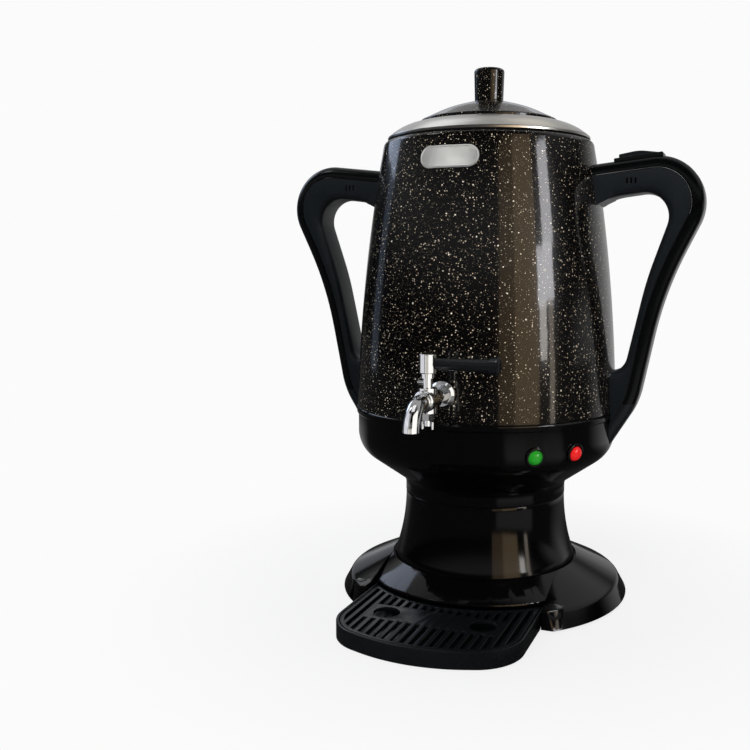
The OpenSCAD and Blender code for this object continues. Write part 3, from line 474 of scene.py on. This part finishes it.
# Cast aluminium: light grey and dull.
ALUMINIUM = BareMetal("cast_aluminium", "#c3c5c7", roughness=0.38)
# Turned brass: warm yellow, with soft reflections.
BRASS = BareMetal("turned_brass", "#c7a358", roughness=0.25)
# Moulded rubber: flat black.
RUBBER = MouldedPlastic("black_rubber", "#101011", roughness=0.75, spread=0.08, grain_depth=0.3, grain_mm=0.4)
# Pressed phenolic insulator: cream, almost matt.
PHENOLIC = MouldedPlastic("cream_phenolic", "#d8d0bd", roughness=0.55, spread=0.06, grain_depth=0.2)


def dress(finish: Finish, *names: str) -> None:
    """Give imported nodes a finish.

    Args:
        finish: The finish.
        names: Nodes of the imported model.
    """
    for name in names:
        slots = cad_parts[name].data.materials
        slots.clear()
        slots.append(finish.material())
        log.info("%s: %s", name, finish.name)


def centre_of(name: str) -> Way:
    """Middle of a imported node's box."""
    low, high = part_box(name)
    return tuple((low + high) / 2)


def select_edges(test: Callable[[bmesh.types.BMEdge], bool]) -> None:
    """Select the edges of the piece in edit mode that pass a test, and nothing else.

    Args:
        test: Says whether an edge is wanted.
    """
    bpy.ops.mesh.select_all(action="DESELECT")
    bpy.ops.mesh.select_mode(type="EDGE")
    data = bpy.context.object.data
    mesh = bmesh.from_edit_mesh(data)
    for edge in mesh.edges:
        edge.select_set(len(edge.link_faces) == 2 and test(edge))
    bmesh.update_edit_mesh(data)


def select_faces(out: Vector, least: float) -> None:
    """Select the faces of the piece in edit mode that look outwards one way, and nothing else.

    Args:
        out: The way, of length 1.
        least: Least share of it in a face's normal.
    """
    bpy.ops.mesh.select_all(action="DESELECT")
    bpy.ops.mesh.select_mode(type="FACE")
    data = bpy.context.object.data
    mesh = bmesh.from_edit_mesh(data)
    for face in mesh.faces:
        face.select_set(face.normal.dot(out) > least)
    bmesh.update_edit_mesh(data)


def copy_of(node: str, name: str) -> bpy.types.Object:
    """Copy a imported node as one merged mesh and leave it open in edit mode.

    Args:
        node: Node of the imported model.
        name: Name of the copy.

    Returns:
        The copy, with its flat faces whole.
    """
    bpy.ops.object.select_all(action="DESELECT")
    piece = bpy.data.objects.new(name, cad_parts[node].data.copy())
    bpy.context.scene.collection.objects.link(piece)
    piece.select_set(True)
    bpy.context.view_layer.objects.active = piece
    bpy.ops.mesh.customdata_custom_splitnormals_clear()
    bpy.ops.object.mode_set(mode="EDIT")
    bpy.ops.mesh.select_all(action="SELECT")
    bpy.ops.mesh.remove_doubles(threshold=WELD_MM * MM)
    bpy.ops.mesh.dissolve_limited(angle_limit=math.radians(FLAT_DEG))
    return piece


def close(piece: bpy.types.Object, body: Body, finish: Finish) -> None:
    """Leave edit mode, smooth the piece, and give it its body and finish.

    Args:
        piece: The active object.
        body: Body that it moves with.
        finish: Its finish.
    """
    if piece.mode == "EDIT":
        bpy.ops.object.mode_set(mode="OBJECT")
    bpy.ops.object.shade_smooth_by_angle(angle=math.radians(SMOOTH_DEG))
    piece.data.materials.clear()
    piece.data.materials.append(finish.material())
    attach(piece, body.value)
    log.info("%s: %d faces, %s", piece.name, len(piece.data.polygons), finish.name)


def soften(
    node: str,
    body: Body,
    finish: Finish,
    width: float,
    where: Callable[[Vector], bool] = lambda place: True,
) -> None:
    """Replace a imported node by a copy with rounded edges.

    Args:
        node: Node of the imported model.
        body: Body that it moves with.
        finish: Its finish.
        width: Width of the round, in millimetres.
        where: Says, by the middle of an edge in millimetres, whether the edge is rounded.
    """
    piece = copy_of(node, node + "_soft")

    def sharp(edge: bmesh.types.BMEdge) -> bool:
        """Say whether an edge stands out sharply at a wanted place."""
        middle = (edge.verts[0].co + edge.verts[1].co) / 2
        return edge.calc_face_angle_signed() > math.radians(SHARP_DEG) and where(middle / MM)

    select_edges(sharp)
    bpy.ops.mesh.bevel(offset=width * MM, segments=3, affect="EDGES", clamp_overlap=False)
    close(piece, body, finish)
    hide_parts(node)


@dataclass
class Tank:
    """Tank, its heater, the steel ring, the lid and the bare badge plate. Sizes are in millimetres."""

    badge_w: float = 42.0
    badge_h: float = 15.0
    badge_t: float = 1.4
    badge_x: float = -3.0
    badge_z: float = 321.0
    badge_rim: float = 1.1
    badge_sunk: float = 0.4
    badge_soft: float = 0.25
    sheet_spare: float = 4.0
    sheet_y: float = -120.0
    cutter_y: float = -90.0
    cutter_long: float = 60.0
    front_share: float = 0.6
    soft_deg: float = 35.0

    def sheet(self) -> bpy.types.Object:
        """Make a thick sheet on the tank's wall, a little larger than the badge.

        Returns:
            The sheet.
        """
        bpy.ops.object.select_all(action="DESELECT")
        bpy.ops.mesh.primitive_grid_add(x_subdivisions=56, y_subdivisions=24, size=1.0)
        plate = bpy.context.object
        plate.name = "badge_plate"
        plate.scale = ((self.badge_w + self.sheet_spare) * MM, (self.badge_h + self.sheet_spare) * MM, 1.0)
        plate.rotation_euler = (math.radians(90), 0, 0)
        plate.location = (self.badge_x * MM, self.sheet_y * MM, self.badge_z * MM)
        bpy.ops.object.transform_apply(location=True, rotation=True, scale=True)
        wrap = plate.modifiers.new("on_wall", "SHRINKWRAP")
        wrap.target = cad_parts["body_shell"]
        wrap.wrap_method = "PROJECT"
        wrap.use_project_y = True
        wrap.use_positive_direction = True
        bpy.ops.object.modifier_apply(modifier=wrap.name)
        wall = plate.modifiers.new("thickness", "SOLIDIFY")
        wall.thickness = self.badge_t * MM
        wall.offset = 1.0
        bpy.ops.object.modifier_apply(modifier=wall.name)
        return plate

    def cutter(self) -> bpy.types.Object:
        """Make a pill-shaped bar with the badge's outline.

        Returns:
            The bar.
        """
        bpy.ops.mesh.primitive_cylinder_add(
            vertices=64,
            radius=self.badge_h / 2 * MM,
            depth=self.cutter_long * MM,
            location=(self.badge_x * MM, self.cutter_y * MM, self.badge_z * MM),
            rotation=(math.radians(90), 0, 0),
        )
        pill = bpy.context.object
        bpy.ops.object.transform_apply(location=True, rotation=True, scale=True)
        bpy.ops.object.mode_set(mode="EDIT")
        spread = (self.badge_w - self.badge_h) / 2 * MM
        for side in (-1, 1):
            bpy.ops.mesh.select_all(action="DESELECT")
            bpy.ops.mesh.select_mode(type="VERT")
            mesh = bmesh.from_edit_mesh(pill.data)
            for corner in mesh.verts:
                corner.select_set(side * (corner.co.x - self.badge_x * MM) > WELD_MM * MM)
            bmesh.update_edit_mesh(pill.data)
            bpy.ops.transform.translate(value=(side * spread, 0, 0))
        bpy.ops.object.mode_set(mode="OBJECT")
        return pill

    def badge(self) -> None:
        """Make a bare pill-shaped plate that follows the tank's wall, with a raised rim."""
        plate = self.sheet()
        pill = self.cutter()
        bpy.ops.object.select_all(action="DESELECT")
        plate.select_set(True)
        bpy.context.view_layer.objects.active = plate
        cut = plate.modifiers.new("outline", "BOOLEAN")
        cut.operation = "INTERSECT"
        cut.object = pill
        bpy.ops.object.modifier_apply(modifier=cut.name)
        bpy.data.objects.remove(pill, do_unlink=True)
        bpy.ops.object.mode_set(mode="EDIT")
        bpy.ops.mesh.select_all(action="SELECT")
        bpy.ops.mesh.remove_doubles(threshold=WELD_MM * MM)
        select_faces(Vector((0, -1, 0)), self.front_share)
        bpy.ops.mesh.inset(thickness=self.badge_rim * MM, depth=-self.badge_sunk * MM)
        bpy.ops.object.mode_set(mode="OBJECT")
        soft = plate.modifiers.new("soft_edge", "BEVEL")
        soft.width = self.badge_soft * MM
        soft.segments = 2
        soft.limit_method = "ANGLE"
        soft.angle_limit = math.radians(self.soft_deg)
        bpy.ops.object.modifier_apply(modifier=soft.name)
        close(plate, Body.BASE, BADGE_STEEL)

    def build(self) -> None:
        """Give the tank's pieces their finishes and add the badge."""
        dress(ENAMEL, "body_shell", "lid_dome", "lid_knob")
        dress(RING_STEEL, "teapot_ring")
        dress(TANK_STEEL, "tank_floor", "heating_element")
        dress(ALUMINIUM, "heat_plate")
        dress(PHENOLIC, "thermostat", "thermal_cutout")
        dress(RUBBER, "ring_seal")
        dress(CHROME, "lid_screw")
        self.badge()


@dataclass
class Base:
    """Pedestal base with its foot and lamps. Sizes are in millimetres."""

    neck_r: float = 61.3
    neck_z: float = 78.0
    neck_slack: float = 1.0
    neck_round: float = 0.7
    pocket_y: float = -62.0
    pocket_z: float = 2.0
    pocket_round: float = 0.9
    green_deg: float = 37.0
    red_deg: float = 56.0
    lens_r: float = 5.3
    lens_tilt: float = 9.0
    lens_rim: float = 0.4
    lens_high: float = 3.2
    lens_steps: int = 5
    step_deg: float = 15.0
    front_share: float = 0.5

    def on_collar_end(self, place: Vector) -> bool:
        """Say whether a place is at the collar's lower end."""
        return place.z < self.neck_z + self.neck_slack

    def on_neck(self, place: Vector) -> bool:
        """Say whether a place is on the outside of the pedestal."""
        return place.xy.length > self.neck_r - self.neck_slack

    def on_pocket(self, place: Vector) -> bool:
        """Say whether a place is on the outside of the foot by the tray's pocket."""
        return place.y < self.pocket_y and place.z > self.pocket_z

    def build(self) -> None:
        """Give the base's pieces their finishes, and its edges and lenses their rounds."""
        dress(GLOSS_ABS, "seat_ring", "lamp_bezels")
        soften("collar", Body.BASE, GLOSS_ABS, self.neck_round, self.on_collar_end)
        soften("pedestal", Body.BASE, GLOSS_ABS, self.neck_round, self.on_neck)
        soften("foot", Body.BASE, GLOSS_ABS, self.pocket_round, self.on_pocket)
        dress(SATIN_ABS, "base_plate")
        dress(RUBBER, "foot_ring", "cord_gland")
        dress(TANK_STEEL, "base_screws", "tie_bolts")
        dress(PHENOLIC, "terminal_block", "lamp_holders")
        # Dyed clear plastic with a weak lamp behind it: a saturated dot that is palest in its middle, where a
        # painted highlight joins the lamp's light.
        green = LampLens("green_lamp_lens", "#178a1c", "#5ad058", centre_of("green_lens"), glow=0.2)
        red = LampLens("red_lamp_lens", "#d61a1c", "#f2423e", centre_of("red_lens"), glow=0.35)
        self.lens("green_lens", self.green_deg, Slot.LENS_GREEN, green)
        self.lens("red_lens", self.red_deg, Slot.LENS_RED, red)

    def lens(self, node: str, turn_deg: float, slot: Slot, finish: Finish) -> None:
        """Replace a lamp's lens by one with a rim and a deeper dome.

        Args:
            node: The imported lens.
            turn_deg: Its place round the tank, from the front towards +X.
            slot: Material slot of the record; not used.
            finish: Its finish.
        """
        turn, tilt = math.radians(turn_deg), math.radians(self.lens_tilt)
        flat = math.cos(tilt)
        out = Vector((math.sin(turn) * flat, -math.cos(turn) * flat, -math.sin(tilt)))
        piece = copy_of(node, node + "_dome")
        select_faces(out, self.front_share)
        bpy.ops.mesh.dissolve_faces()
        bpy.ops.mesh.inset(thickness=self.lens_rim * MM, depth=self.lens_rim * MM)
        radius = self.lens_r - self.lens_rim
        turns = [math.radians(self.step_deg * step) for step in range(self.lens_steps + 1)]
        for low, high in zip(turns, turns[1:]):
            bpy.ops.mesh.inset(
                thickness=radius * (math.cos(low) - math.cos(high)) * MM,
                depth=self.lens_high * (math.sin(high) - math.sin(low)) * MM,
            )
        close(piece, Body.BASE, finish)
        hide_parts(node)


@dataclass
class Handles:
    """Handles, their cover strips and the mains switch. Sizes are in millimetres."""

    depth: float = 28.0
    face_slack: float = 0.02
    wall_lean: float = 0.3
    hole_x: float = 108.0
    hole_z: float = 262.0
    hole_round: float = 4.6
    rim_round: float = 1.0
    least_facing: float = 0.15
    hole_outwards: float = 0.35
    rim_outwards: float = -0.5
    dimple_z: float = 308.0
    dimple_half: float = 2.6
    dimple_deep: float = 2.0
    dimple_x: Range = (104.0, 113.0)
    clear_half: float = 5.0
    clear_x: float = 116.0
    switch_round: float = 0.8

    def is_border(self, edge: bmesh.types.BMEdge, side: int, at_hole: bool) -> bool:
        """Say whether an edge borders the broad face at the hole, or at the outside.

        Args:
            edge: Edge of the handle.
            side: 1 on the right and -1 on the left.
            at_hole: Whether the border at the hole is meant.

        Returns:
            True on that border, which leaves out the dimples.
        """
        if any(abs(abs(v.co.y) - self.depth / 2 * MM) > self.face_slack * MM for v in edge.verts):
            return False
        walls = [f for f in edge.link_faces if abs(f.normal.y) < self.wall_lean]
        if len(walls) != 1:
            return False
        middle = (edge.verts[0].co + edge.verts[1].co) / 2
        level = abs(middle.z - self.dimple_z * MM) < self.clear_half * MM
        if level and abs(middle.x) < self.clear_x * MM:
            return False
        way = Vector((side * self.hole_x * MM - middle.x, 0.0, self.hole_z * MM - middle.z))
        facing = walls[0].normal.dot(way.normalized())
        outwards = side * walls[0].normal.x
        if at_hole:
            return facing > self.least_facing and outwards < self.hole_outwards
        return facing < -self.least_facing and outwards > self.rim_outwards

    def grip(self, node: str, side: int) -> None:
        """Replace a handle by a copy with a wide round at its hole and a small one at its face's rim.

        Args:
            node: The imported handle.
            side: 1 on the right and -1 on the left.
        """
        piece = copy_of(node, node + "_grip")
        select_edges(lambda edge: self.is_border(edge, side, True))
        bpy.ops.mesh.bevel(offset=self.hole_round * MM, segments=5, affect="EDGES")
        select_edges(lambda edge: self.is_border(edge, side, False))
        bpy.ops.mesh.bevel(offset=self.rim_round * MM, segments=4, affect="EDGES")
        close(piece, Body.BASE, SATIN_ABS)
        self.polish(piece)
        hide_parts(node)

    def polish(self, piece: bpy.types.Object) -> None:
        """Give the rim, which is still selected, a polished finish, and paint the small dimples near-black as
        painted shade.

        Args:
            piece: The handle, after its rim was rounded.
        """
        piece.data.materials.append(GLOSS_ABS.material())
        low, high = self.dimple_x
        for face in piece.data.polygons:
            sunk = self.depth / 2 * MM - abs(face.center.y)
            # The small dimples take the near-black gloss as painted shade in their hollows.
            in_dimple_shade = (
                self.face_slack * MM < sunk < self.dimple_deep * MM
                and abs(face.center.z - self.dimple_z * MM) < self.dimple_half * MM
                and low * MM < abs(face.center.x) < high * MM
            )
            face.material_index = int(face.select or in_dimple_shade)

    def build(self) -> None:
        """Give the handles' pieces their finishes, and the grips and the switch their rounds."""
        self.grip("left_handle", -1)
        self.grip("right_handle", 1)
        soften("switch_rocker", Body.ROCKER, SATIN_ABS, self.switch_round)
        soften("switch_frame", Body.BASE, STRIP_ABS, self.switch_round)
        dress(STRIP_ABS, "left_strip", "right_strip")
        dress(TANK_STEEL, "handle_tabs", "handle_screws")
        dress(PHENOLIC, "switch_body")


TAP_METAL = ("tap_body", "tap_rosette", "tap_key", "key_nut", "key_pin")


@dataclass
class Tap:
    """Plug tap with its lever."""

    metal: tuple[str, ...] = TAP_METAL

    def build(self) -> None:
        """Give the tap's pieces their finishes."""
        dress(CHROME, *self.metal)
        dress(LEVER_PHENOLIC, "tap_lever")
        dress(RUBBER, "tap_gaskets")
        dress(BRASS, "tap_nut")


@dataclass
class DripTray:
    """Drip tray and its grille. Sizes are in millimetres."""

    rim_z: float = 12.0
    tray_round: float = 0.8
    grille_round: float = 0.35

    def on_top(self, place: Vector) -> bool:
        """Say whether a place is on the upper side of the tray."""
        return place.z > self.rim_z

    def build(self) -> None:
        """Give the tray's pieces their finishes and round their upper edges."""
        soften("drip_tray", Body.TRAY, TRAY_ABS, self.tray_round, self.on_top)
        soften("drip_grille", Body.GRILLE, TRAY_ABS, self.grille_round, self.on_top)


@dataclass(frozen=True)
class SoftBox:
    """A rectangular lamp on a circle round the tank, its azimuth from the front towards +X.

    The lamp faces the tank's axis at the height aim_z. If it names pieces, it lights these only.
    """

    name: str
    azimuth_deg: float
    elevation_deg: float
    distance: float
    size: Range
    radiance: float
    colour: str
    aim_z: float
    only: tuple[str, ...] = ()
    in_gloss: bool = True


@dataclass(frozen=True)
class Glow:
    """A pale part of the room as the gloss shows it: a strength and the ramps that bound it.

    A ramp has a way to look, and the share of it, from low to high, at which the glow rises to its strength.
    The ramps near and far run by the distance from the tank's axis, in metres.
    """

    strength: float
    ramps: tuple[tuple[Way, float, float], ...]
    near: Range | None = None
    far: Range | None = None

    def level(self, tree: Tree, look: Socket, away: Socket | None = None) -> Socket:
        """Add the nodes that give the glow's strength.

        Args:
            tree: Node tree.
            look: Way that is looked at, of length 1.
            away: Distance from the tank's axis, in metres, for a glow with near or far.

        Returns:
            Socket with the strength.
        """
        bounds = [(away, low, high) for low, high in filter(None, (self.near, self.far))]
        for way, low, high in self.ramps:
            turn = add(tree, "VectorMath", {0: look, 1: way}, operation="DOT_PRODUCT")
            bounds.append((turn.outputs["Value"], low, high))
        level = self.strength
        for value, low, high in bounds:
            sockets = {"Value": value, "From Min": low, "From Max": high}
            rise = add(tree, "MapRange", sockets, interpolation_type="SMOOTHSTEP")
            level = add(tree, "Math", {0: level, 1: rise.outputs[0]}, operation="MULTIPLY").outputs[0]
        return level


UP: Way = (0.0, 0.0, 1.0)
BACK: Way = (0.0, 1.0, 0.0)
BACK_RIGHT: Way = (0.342, 0.94, 0.0)
BACK_LEFT: Way = (-0.63, 0.777, 0.0)
WARM_SIDE: Way = (0.84, -0.543, 0.0)
FLOOR_GLOWS = (
    Glow(0.45, ((BACK_RIGHT, 0.6, 0.96),), (0.2, 0.6)),
    Glow(0.3, ((BACK_LEFT, 0.75, 0.96),), (0.16, 0.48), (1.0, 0.6)),
    Glow(0.25, ((WARM_SIDE, 0.88, 0.93),), (0.1, 0.3), (1.0, 0.6)),
)
ROOM_GLOWS = (
    Glow(0.17, ((UP, 0.08, 0.28), (UP, 0.5, 0.28), (BACK, 0.3, -0.3))),
    Glow(0.36, ((UP, 0.28, 0.52), (BACK, -0.25, 0.25))),
    Glow(0.45, ((BACK_RIGHT, 0.75, 1.0), (UP, 0.45, 0.1))),
    Glow(0.3, ((BACK_RIGHT, 0.3, 0.7), (UP, 0.14, 0.03))),
)
LEVER = ("tap_lever",)
GRIPS = ("left_handle_grip", "right_handle_grip")
STRIPS = ("left_strip", "right_strip")
FOOT = ("foot_soft",)
RING = ("teapot_ring",)
BADGE = ("badge_plate",)
GLOSSY = (
    "body_shell",
    "lid_dome",
    "lid_knob",
    "teapot_ring",
    "seat_ring",
    "collar_soft",
    "pedestal_soft",
    "foot_soft",
    "lamp_bezels",
    "green_lens_dome",
    "red_lens_dome",
)
# Name, azimuth, elevation, distance, width and height, radiance, colour, aim_z, pieces, shown in gloss.
BOXES = (
    # Even light that no gloss shows.
    SoftBox("fill", -5.0, 30.0, 1.3, (0.9, 0.9), 4.2, "#ffffff", 0.25, (), False),
    SoftBox("back_fill", 178.0, 30.0, 1.3, (0.9, 0.9), 2.2, "#ffffff", 0.25, (), False),
    # The warm band and the stepped window strip on the tank, and what follows below them on the base.
    SoftBox("warm_panel", 44.0, 0.0, 1.15, (0.7, 0.9), 0.5, "#ffdcae", 0.46, GLOSSY),
    SoftBox("warm_core", 51.0, 0.0, 1.16, (0.42, 0.9), 0.62, "#ffdcae", 0.46, GLOSSY),
    SoftBox("strip_high", 73.0, 0.0, 1.15, (0.22, 0.32), 6.6, "#fbfaff", 0.68, GLOSSY),
    SoftBox("strip_mid", 69.0, 0.0, 1.15, (0.31, 0.17), 8.2, "#fbfaff", 0.44, GLOSSY),
    SoftBox("strip_low", 65.5, 0.0, 1.15, (0.13, 0.17), 6.4, "#fdf8f2", 0.275, GLOSSY),
    SoftBox("strip_foot", 73.0, 0.0, 1.15, (0.09, 0.4), 2.2, "#fff0dc", 0.16, GLOSSY),
    # Cool daylight from the left.
    SoftBox("left_panel", -97.0, 0.0, 1.15, (0.22, 0.7), 0.32, "#bcd0ee", 0.45),
    SoftBox("left_sky", -160.0, 28.0, 1.3, (1.0, 0.5), 0.45, "#f4f7ff", 0.1),
    SoftBox("window", -106.0, 36.0, 1.3, (0.55, 0.5), 1.6, "#d4e3ff", 0.05),
    SoftBox("shoulder", -64.0, 50.0, 1.3, (0.25, 0.25), 3.0, "#ffffff", 0.33),
    # Panels that the chrome mirrors.
    SoftBox("tap_left", -52.0, 0.0, 0.75, (0.75, 0.9), 0.8, "#f8f8ff", 0.44, TAP_METAL),
    SoftBox("tap_right", 57.0, 0.0, 0.75, (0.85, 0.9), 1.2, "#fffdf6", 0.44, TAP_METAL),
    SoftBox("tap_front", -15.0, 8.0, 0.7, (0.3, 0.9), 0.3, "#ffffff", 0.3, TAP_METAL),
    SoftBox("tap_top", 10.0, 68.0, 0.9, (0.5, 0.4), 1.0, "#ffffff", 0.16, TAP_METAL),
    SoftBox("tap_under", 20.0, -16.0, 0.5, (0.6, 0.35), 0.6, "#fffaf0", 0.16, TAP_METAL),
    SoftBox("lever_top", 15.0, 62.0, 0.9, (0.6, 0.3), 3.5, "#ffffff", 0.19, LEVER),
    # Thin lights along the edges of the handles.
    SoftBox("rim_top", 0.0, 88.0, 0.9, (0.5, 0.5), 3.0, "#ffffff", 0.3, GRIPS),
    SoftBox("rim_side", 73.0, 0.0, 1.1, (0.16, 0.6), 8.0, "#ffffff", 0.2, GRIPS),
    SoftBox("rim_high", 72.0, 32.0, 1.1, (0.16, 0.62), 8.0, "#ffffff", 0.2, GRIPS),
    SoftBox("rim_corner", 72.0, 62.0, 1.1, (0.4, 0.6), 6.0, "#ffffff", 0.2, GRIPS),
    SoftBox("rim_left", -116.0, 8.0, 1.1, (0.3, 0.8), 1.6, "#eaf1ff", 0.25, GRIPS),
    SoftBox("strip_edge", 135.0, 0.0, 1.1, (0.7, 0.8), 0.35, "#ffffff", 0.2, STRIPS),
    # Soft sheen on the foot, the ring and the badge.
    SoftBox("foot_left", -147.0, 6.0, 0.9, (1.0, 0.3), 0.35, "#f2f6ff", 0.03, FOOT),
    SoftBox("ring_left", -125.0, 55.0, 1.0, (0.5, 0.4), 0.9, "#f4f8ff", 0.34, RING),
    SoftBox("ring_right", 170.0, 55.0, 1.0, (0.25, 0.4), 0.5, "#fff6e8", 0.34, RING),
    SoftBox("badge_front", -17.0, 12.0, 0.9, (0.7, 0.6), 1.6, "#ffffff", 0.32, BADGE),
)


@dataclass
class Studio:
    """Floor, backdrop, lamps and camera. Sizes are in metres."""

    boxes: tuple[SoftBox, ...] = BOXES
    paper: str = "#fbfbfb"
    card: str = "#f2f2f2"
    floor_r: float = 6.0
    floor_z: float = -0.0005
    floor_dark: float = 0.03
    glow_near: float = 0.86
    glow_fade: Range = (0.14, 0.3)
    camera_at: Way = (0.2016, -0.6598, 0.2488)
    tilt_deg: float = 83.04
    roll_deg: float = -0.25
    yaw_deg: float = 20.0
    lens_mm: float = 43.2
    sensor_mm: float = 36.0
    shift_x: float = -0.0862
    clip_near: float = 0.02

    def floor(self) -> None:
        """Lay a floor of matt white card, which keeps the object's shadow and looks dim in the gloss."""
        bpy.ops.mesh.primitive_circle_add(
            vertices=96, radius=self.floor_r, fill_type="NGON", location=(0, 0, self.floor_z)
        )
        floor = bpy.context.object
        floor.name = "floor"
        made = bpy.data.materials.new("white_floor")
        made.use_nodes = True
        tree = made.node_tree
        tree.nodes.clear()
        path = add(tree, "LightPath")
        matt = add(tree, "BsdfDiffuse", {"Color": linear(self.card)})
        spot = add(tree, "TexCoord").outputs["Object"]
        away = add(tree, "VectorMath", {0: spot}, operation="LENGTH").outputs["Value"]
        way = add(tree, "VectorMath", {0: spot}, operation="NORMALIZE").outputs[0]
        sheen = self.floor_dark
        for glow in FLOOR_GLOWS:
            level = glow.level(tree, way, away)
            sheen = add(tree, "Math", {0: sheen, 1: level}, operation="MAXIMUM").outputs[0]
        dim = add(tree, "Emission", {"Color": linear(self.paper), "Strength": sheen})
        glare = add(tree, "Emission", {"Color": linear(self.paper), "Strength": 1.0})
        sockets = {0: path.outputs["Is Glossy Ray"], 1: matt.outputs[0], 2: dim.outputs[0]}
        lit = add(tree, "MixShader", sockets)
        low, high = self.glow_fade
        sockets = {"Value": away, "From Min": low, "From Max": high, "To Min": self.glow_near}
        fade = add(tree, "MapRange", sockets)
        sockets = {0: path.outputs["Is Camera Ray"], 1: fade.outputs[0]}
        share = add(tree, "Math", sockets, operation="MULTIPLY")
        both = add(tree, "MixShader", {0: share.outputs[0], 1: lit.outputs[0], 2: glare.outputs[0]})
        add(tree, "OutputMaterial", {"Surface": both.outputs[0]})
        floor.data.materials.append(made)

    def world(self) -> None:
        """Light the room: a dim band in front, a pale sky behind, and plain white for the camera."""
        world = bpy.data.worlds.new("studio")
        bpy.context.scene.world = world
        world.use_nodes = True
        tree = world.node_tree
        tree.nodes.clear()
        look = add(tree, "TexCoord").outputs["Generated"]
        light = 0.0
        for glow in ROOM_GLOWS:
            level = glow.level(tree, look)
            light = add(tree, "Math", {0: light, 1: level}, operation="MAXIMUM").outputs[0]
        room = add(tree, "Background", {"Color": linear("#ffffff"), "Strength": light})
        white = add(tree, "Background", {"Color": linear(self.paper), "Strength": 1.0})
        path = add(tree, "LightPath")
        sockets = {0: path.outputs["Is Camera Ray"], 1: room.outputs[0], 2: white.outputs[0]}
        both = add(tree, "MixShader", sockets)
        add(tree, "OutputWorld", {"Surface": both.outputs[0]})

    def lamp(self, box: SoftBox) -> None:
        """Hang a soft box that faces the tank.

        Args:
            box: Its place, size and light.
        """
        turn = math.radians(box.azimuth_deg)
        rise = math.radians(box.elevation_deg)
        flat = box.distance * math.cos(rise)
        height = box.aim_z + box.distance * math.sin(rise)
        at = Vector((flat * math.sin(turn), -flat * math.cos(turn), height))
        bpy.ops.object.light_add(type="AREA", location=at)
        lamp = bpy.context.object
        lamp.name = box.name
        lamp.data.shape = "RECTANGLE"
        lamp.data.size, lamp.data.size_y = box.size
        lamp.data.energy = box.radiance * math.pi * box.size[0] * box.size[1]
        lamp.data.color = linear(box.colour)[:3]
        aim = Vector((0, 0, box.aim_z)) - at
        lamp.rotation_euler = aim.to_track_quat("-Z", "Y").to_euler()
        lamp.visible_camera = False
        lamp.visible_glossy = box.in_gloss
        if box.only:
            lit = bpy.data.collections.new(box.name)
            for name in box.only:
                lit.objects.link(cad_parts.get(name) or bpy.data.objects[name])
            lamp.light_linking.receiver_collection = lit
        log.info("%s: %.1f W", box.name, lamp.data.energy)

    def camera(self) -> None:
        """Set the camera at the photograph's viewing angle."""
        turns = (self.tilt_deg, self.roll_deg, self.yaw_deg)
        bpy.ops.object.camera_add(location=self.camera_at, rotation=[math.radians(turn) for turn in turns])
        camera = bpy.context.object
        camera.data.sensor_width = self.sensor_mm
        camera.data.lens = self.lens_mm
        camera.data.shift_x = self.shift_x
        camera.data.clip_start = self.clip_near
        bpy.context.scene.camera = camera

    def build(self) -> None:
        """Set up floor, world, lamps and camera."""
        self.floor()
        self.world()
        for box in self.boxes:
            self.lamp(box)
        self.camera()
        bpy.context.scene.view_settings.view_transform = "Standard"


def main() -> None:
    """Dress the samovar and set up the studio."""
    logging.basicConfig(level=logging.INFO, format="%(name)s %(message)s")
    bpy.ops.object.select_all(action="DESELECT")
    for group in (Tank(), Base(), Handles(), Tap(), DripTray()):
        group.build()
    Studio().build()


if __name__ == "__main__":
    main()
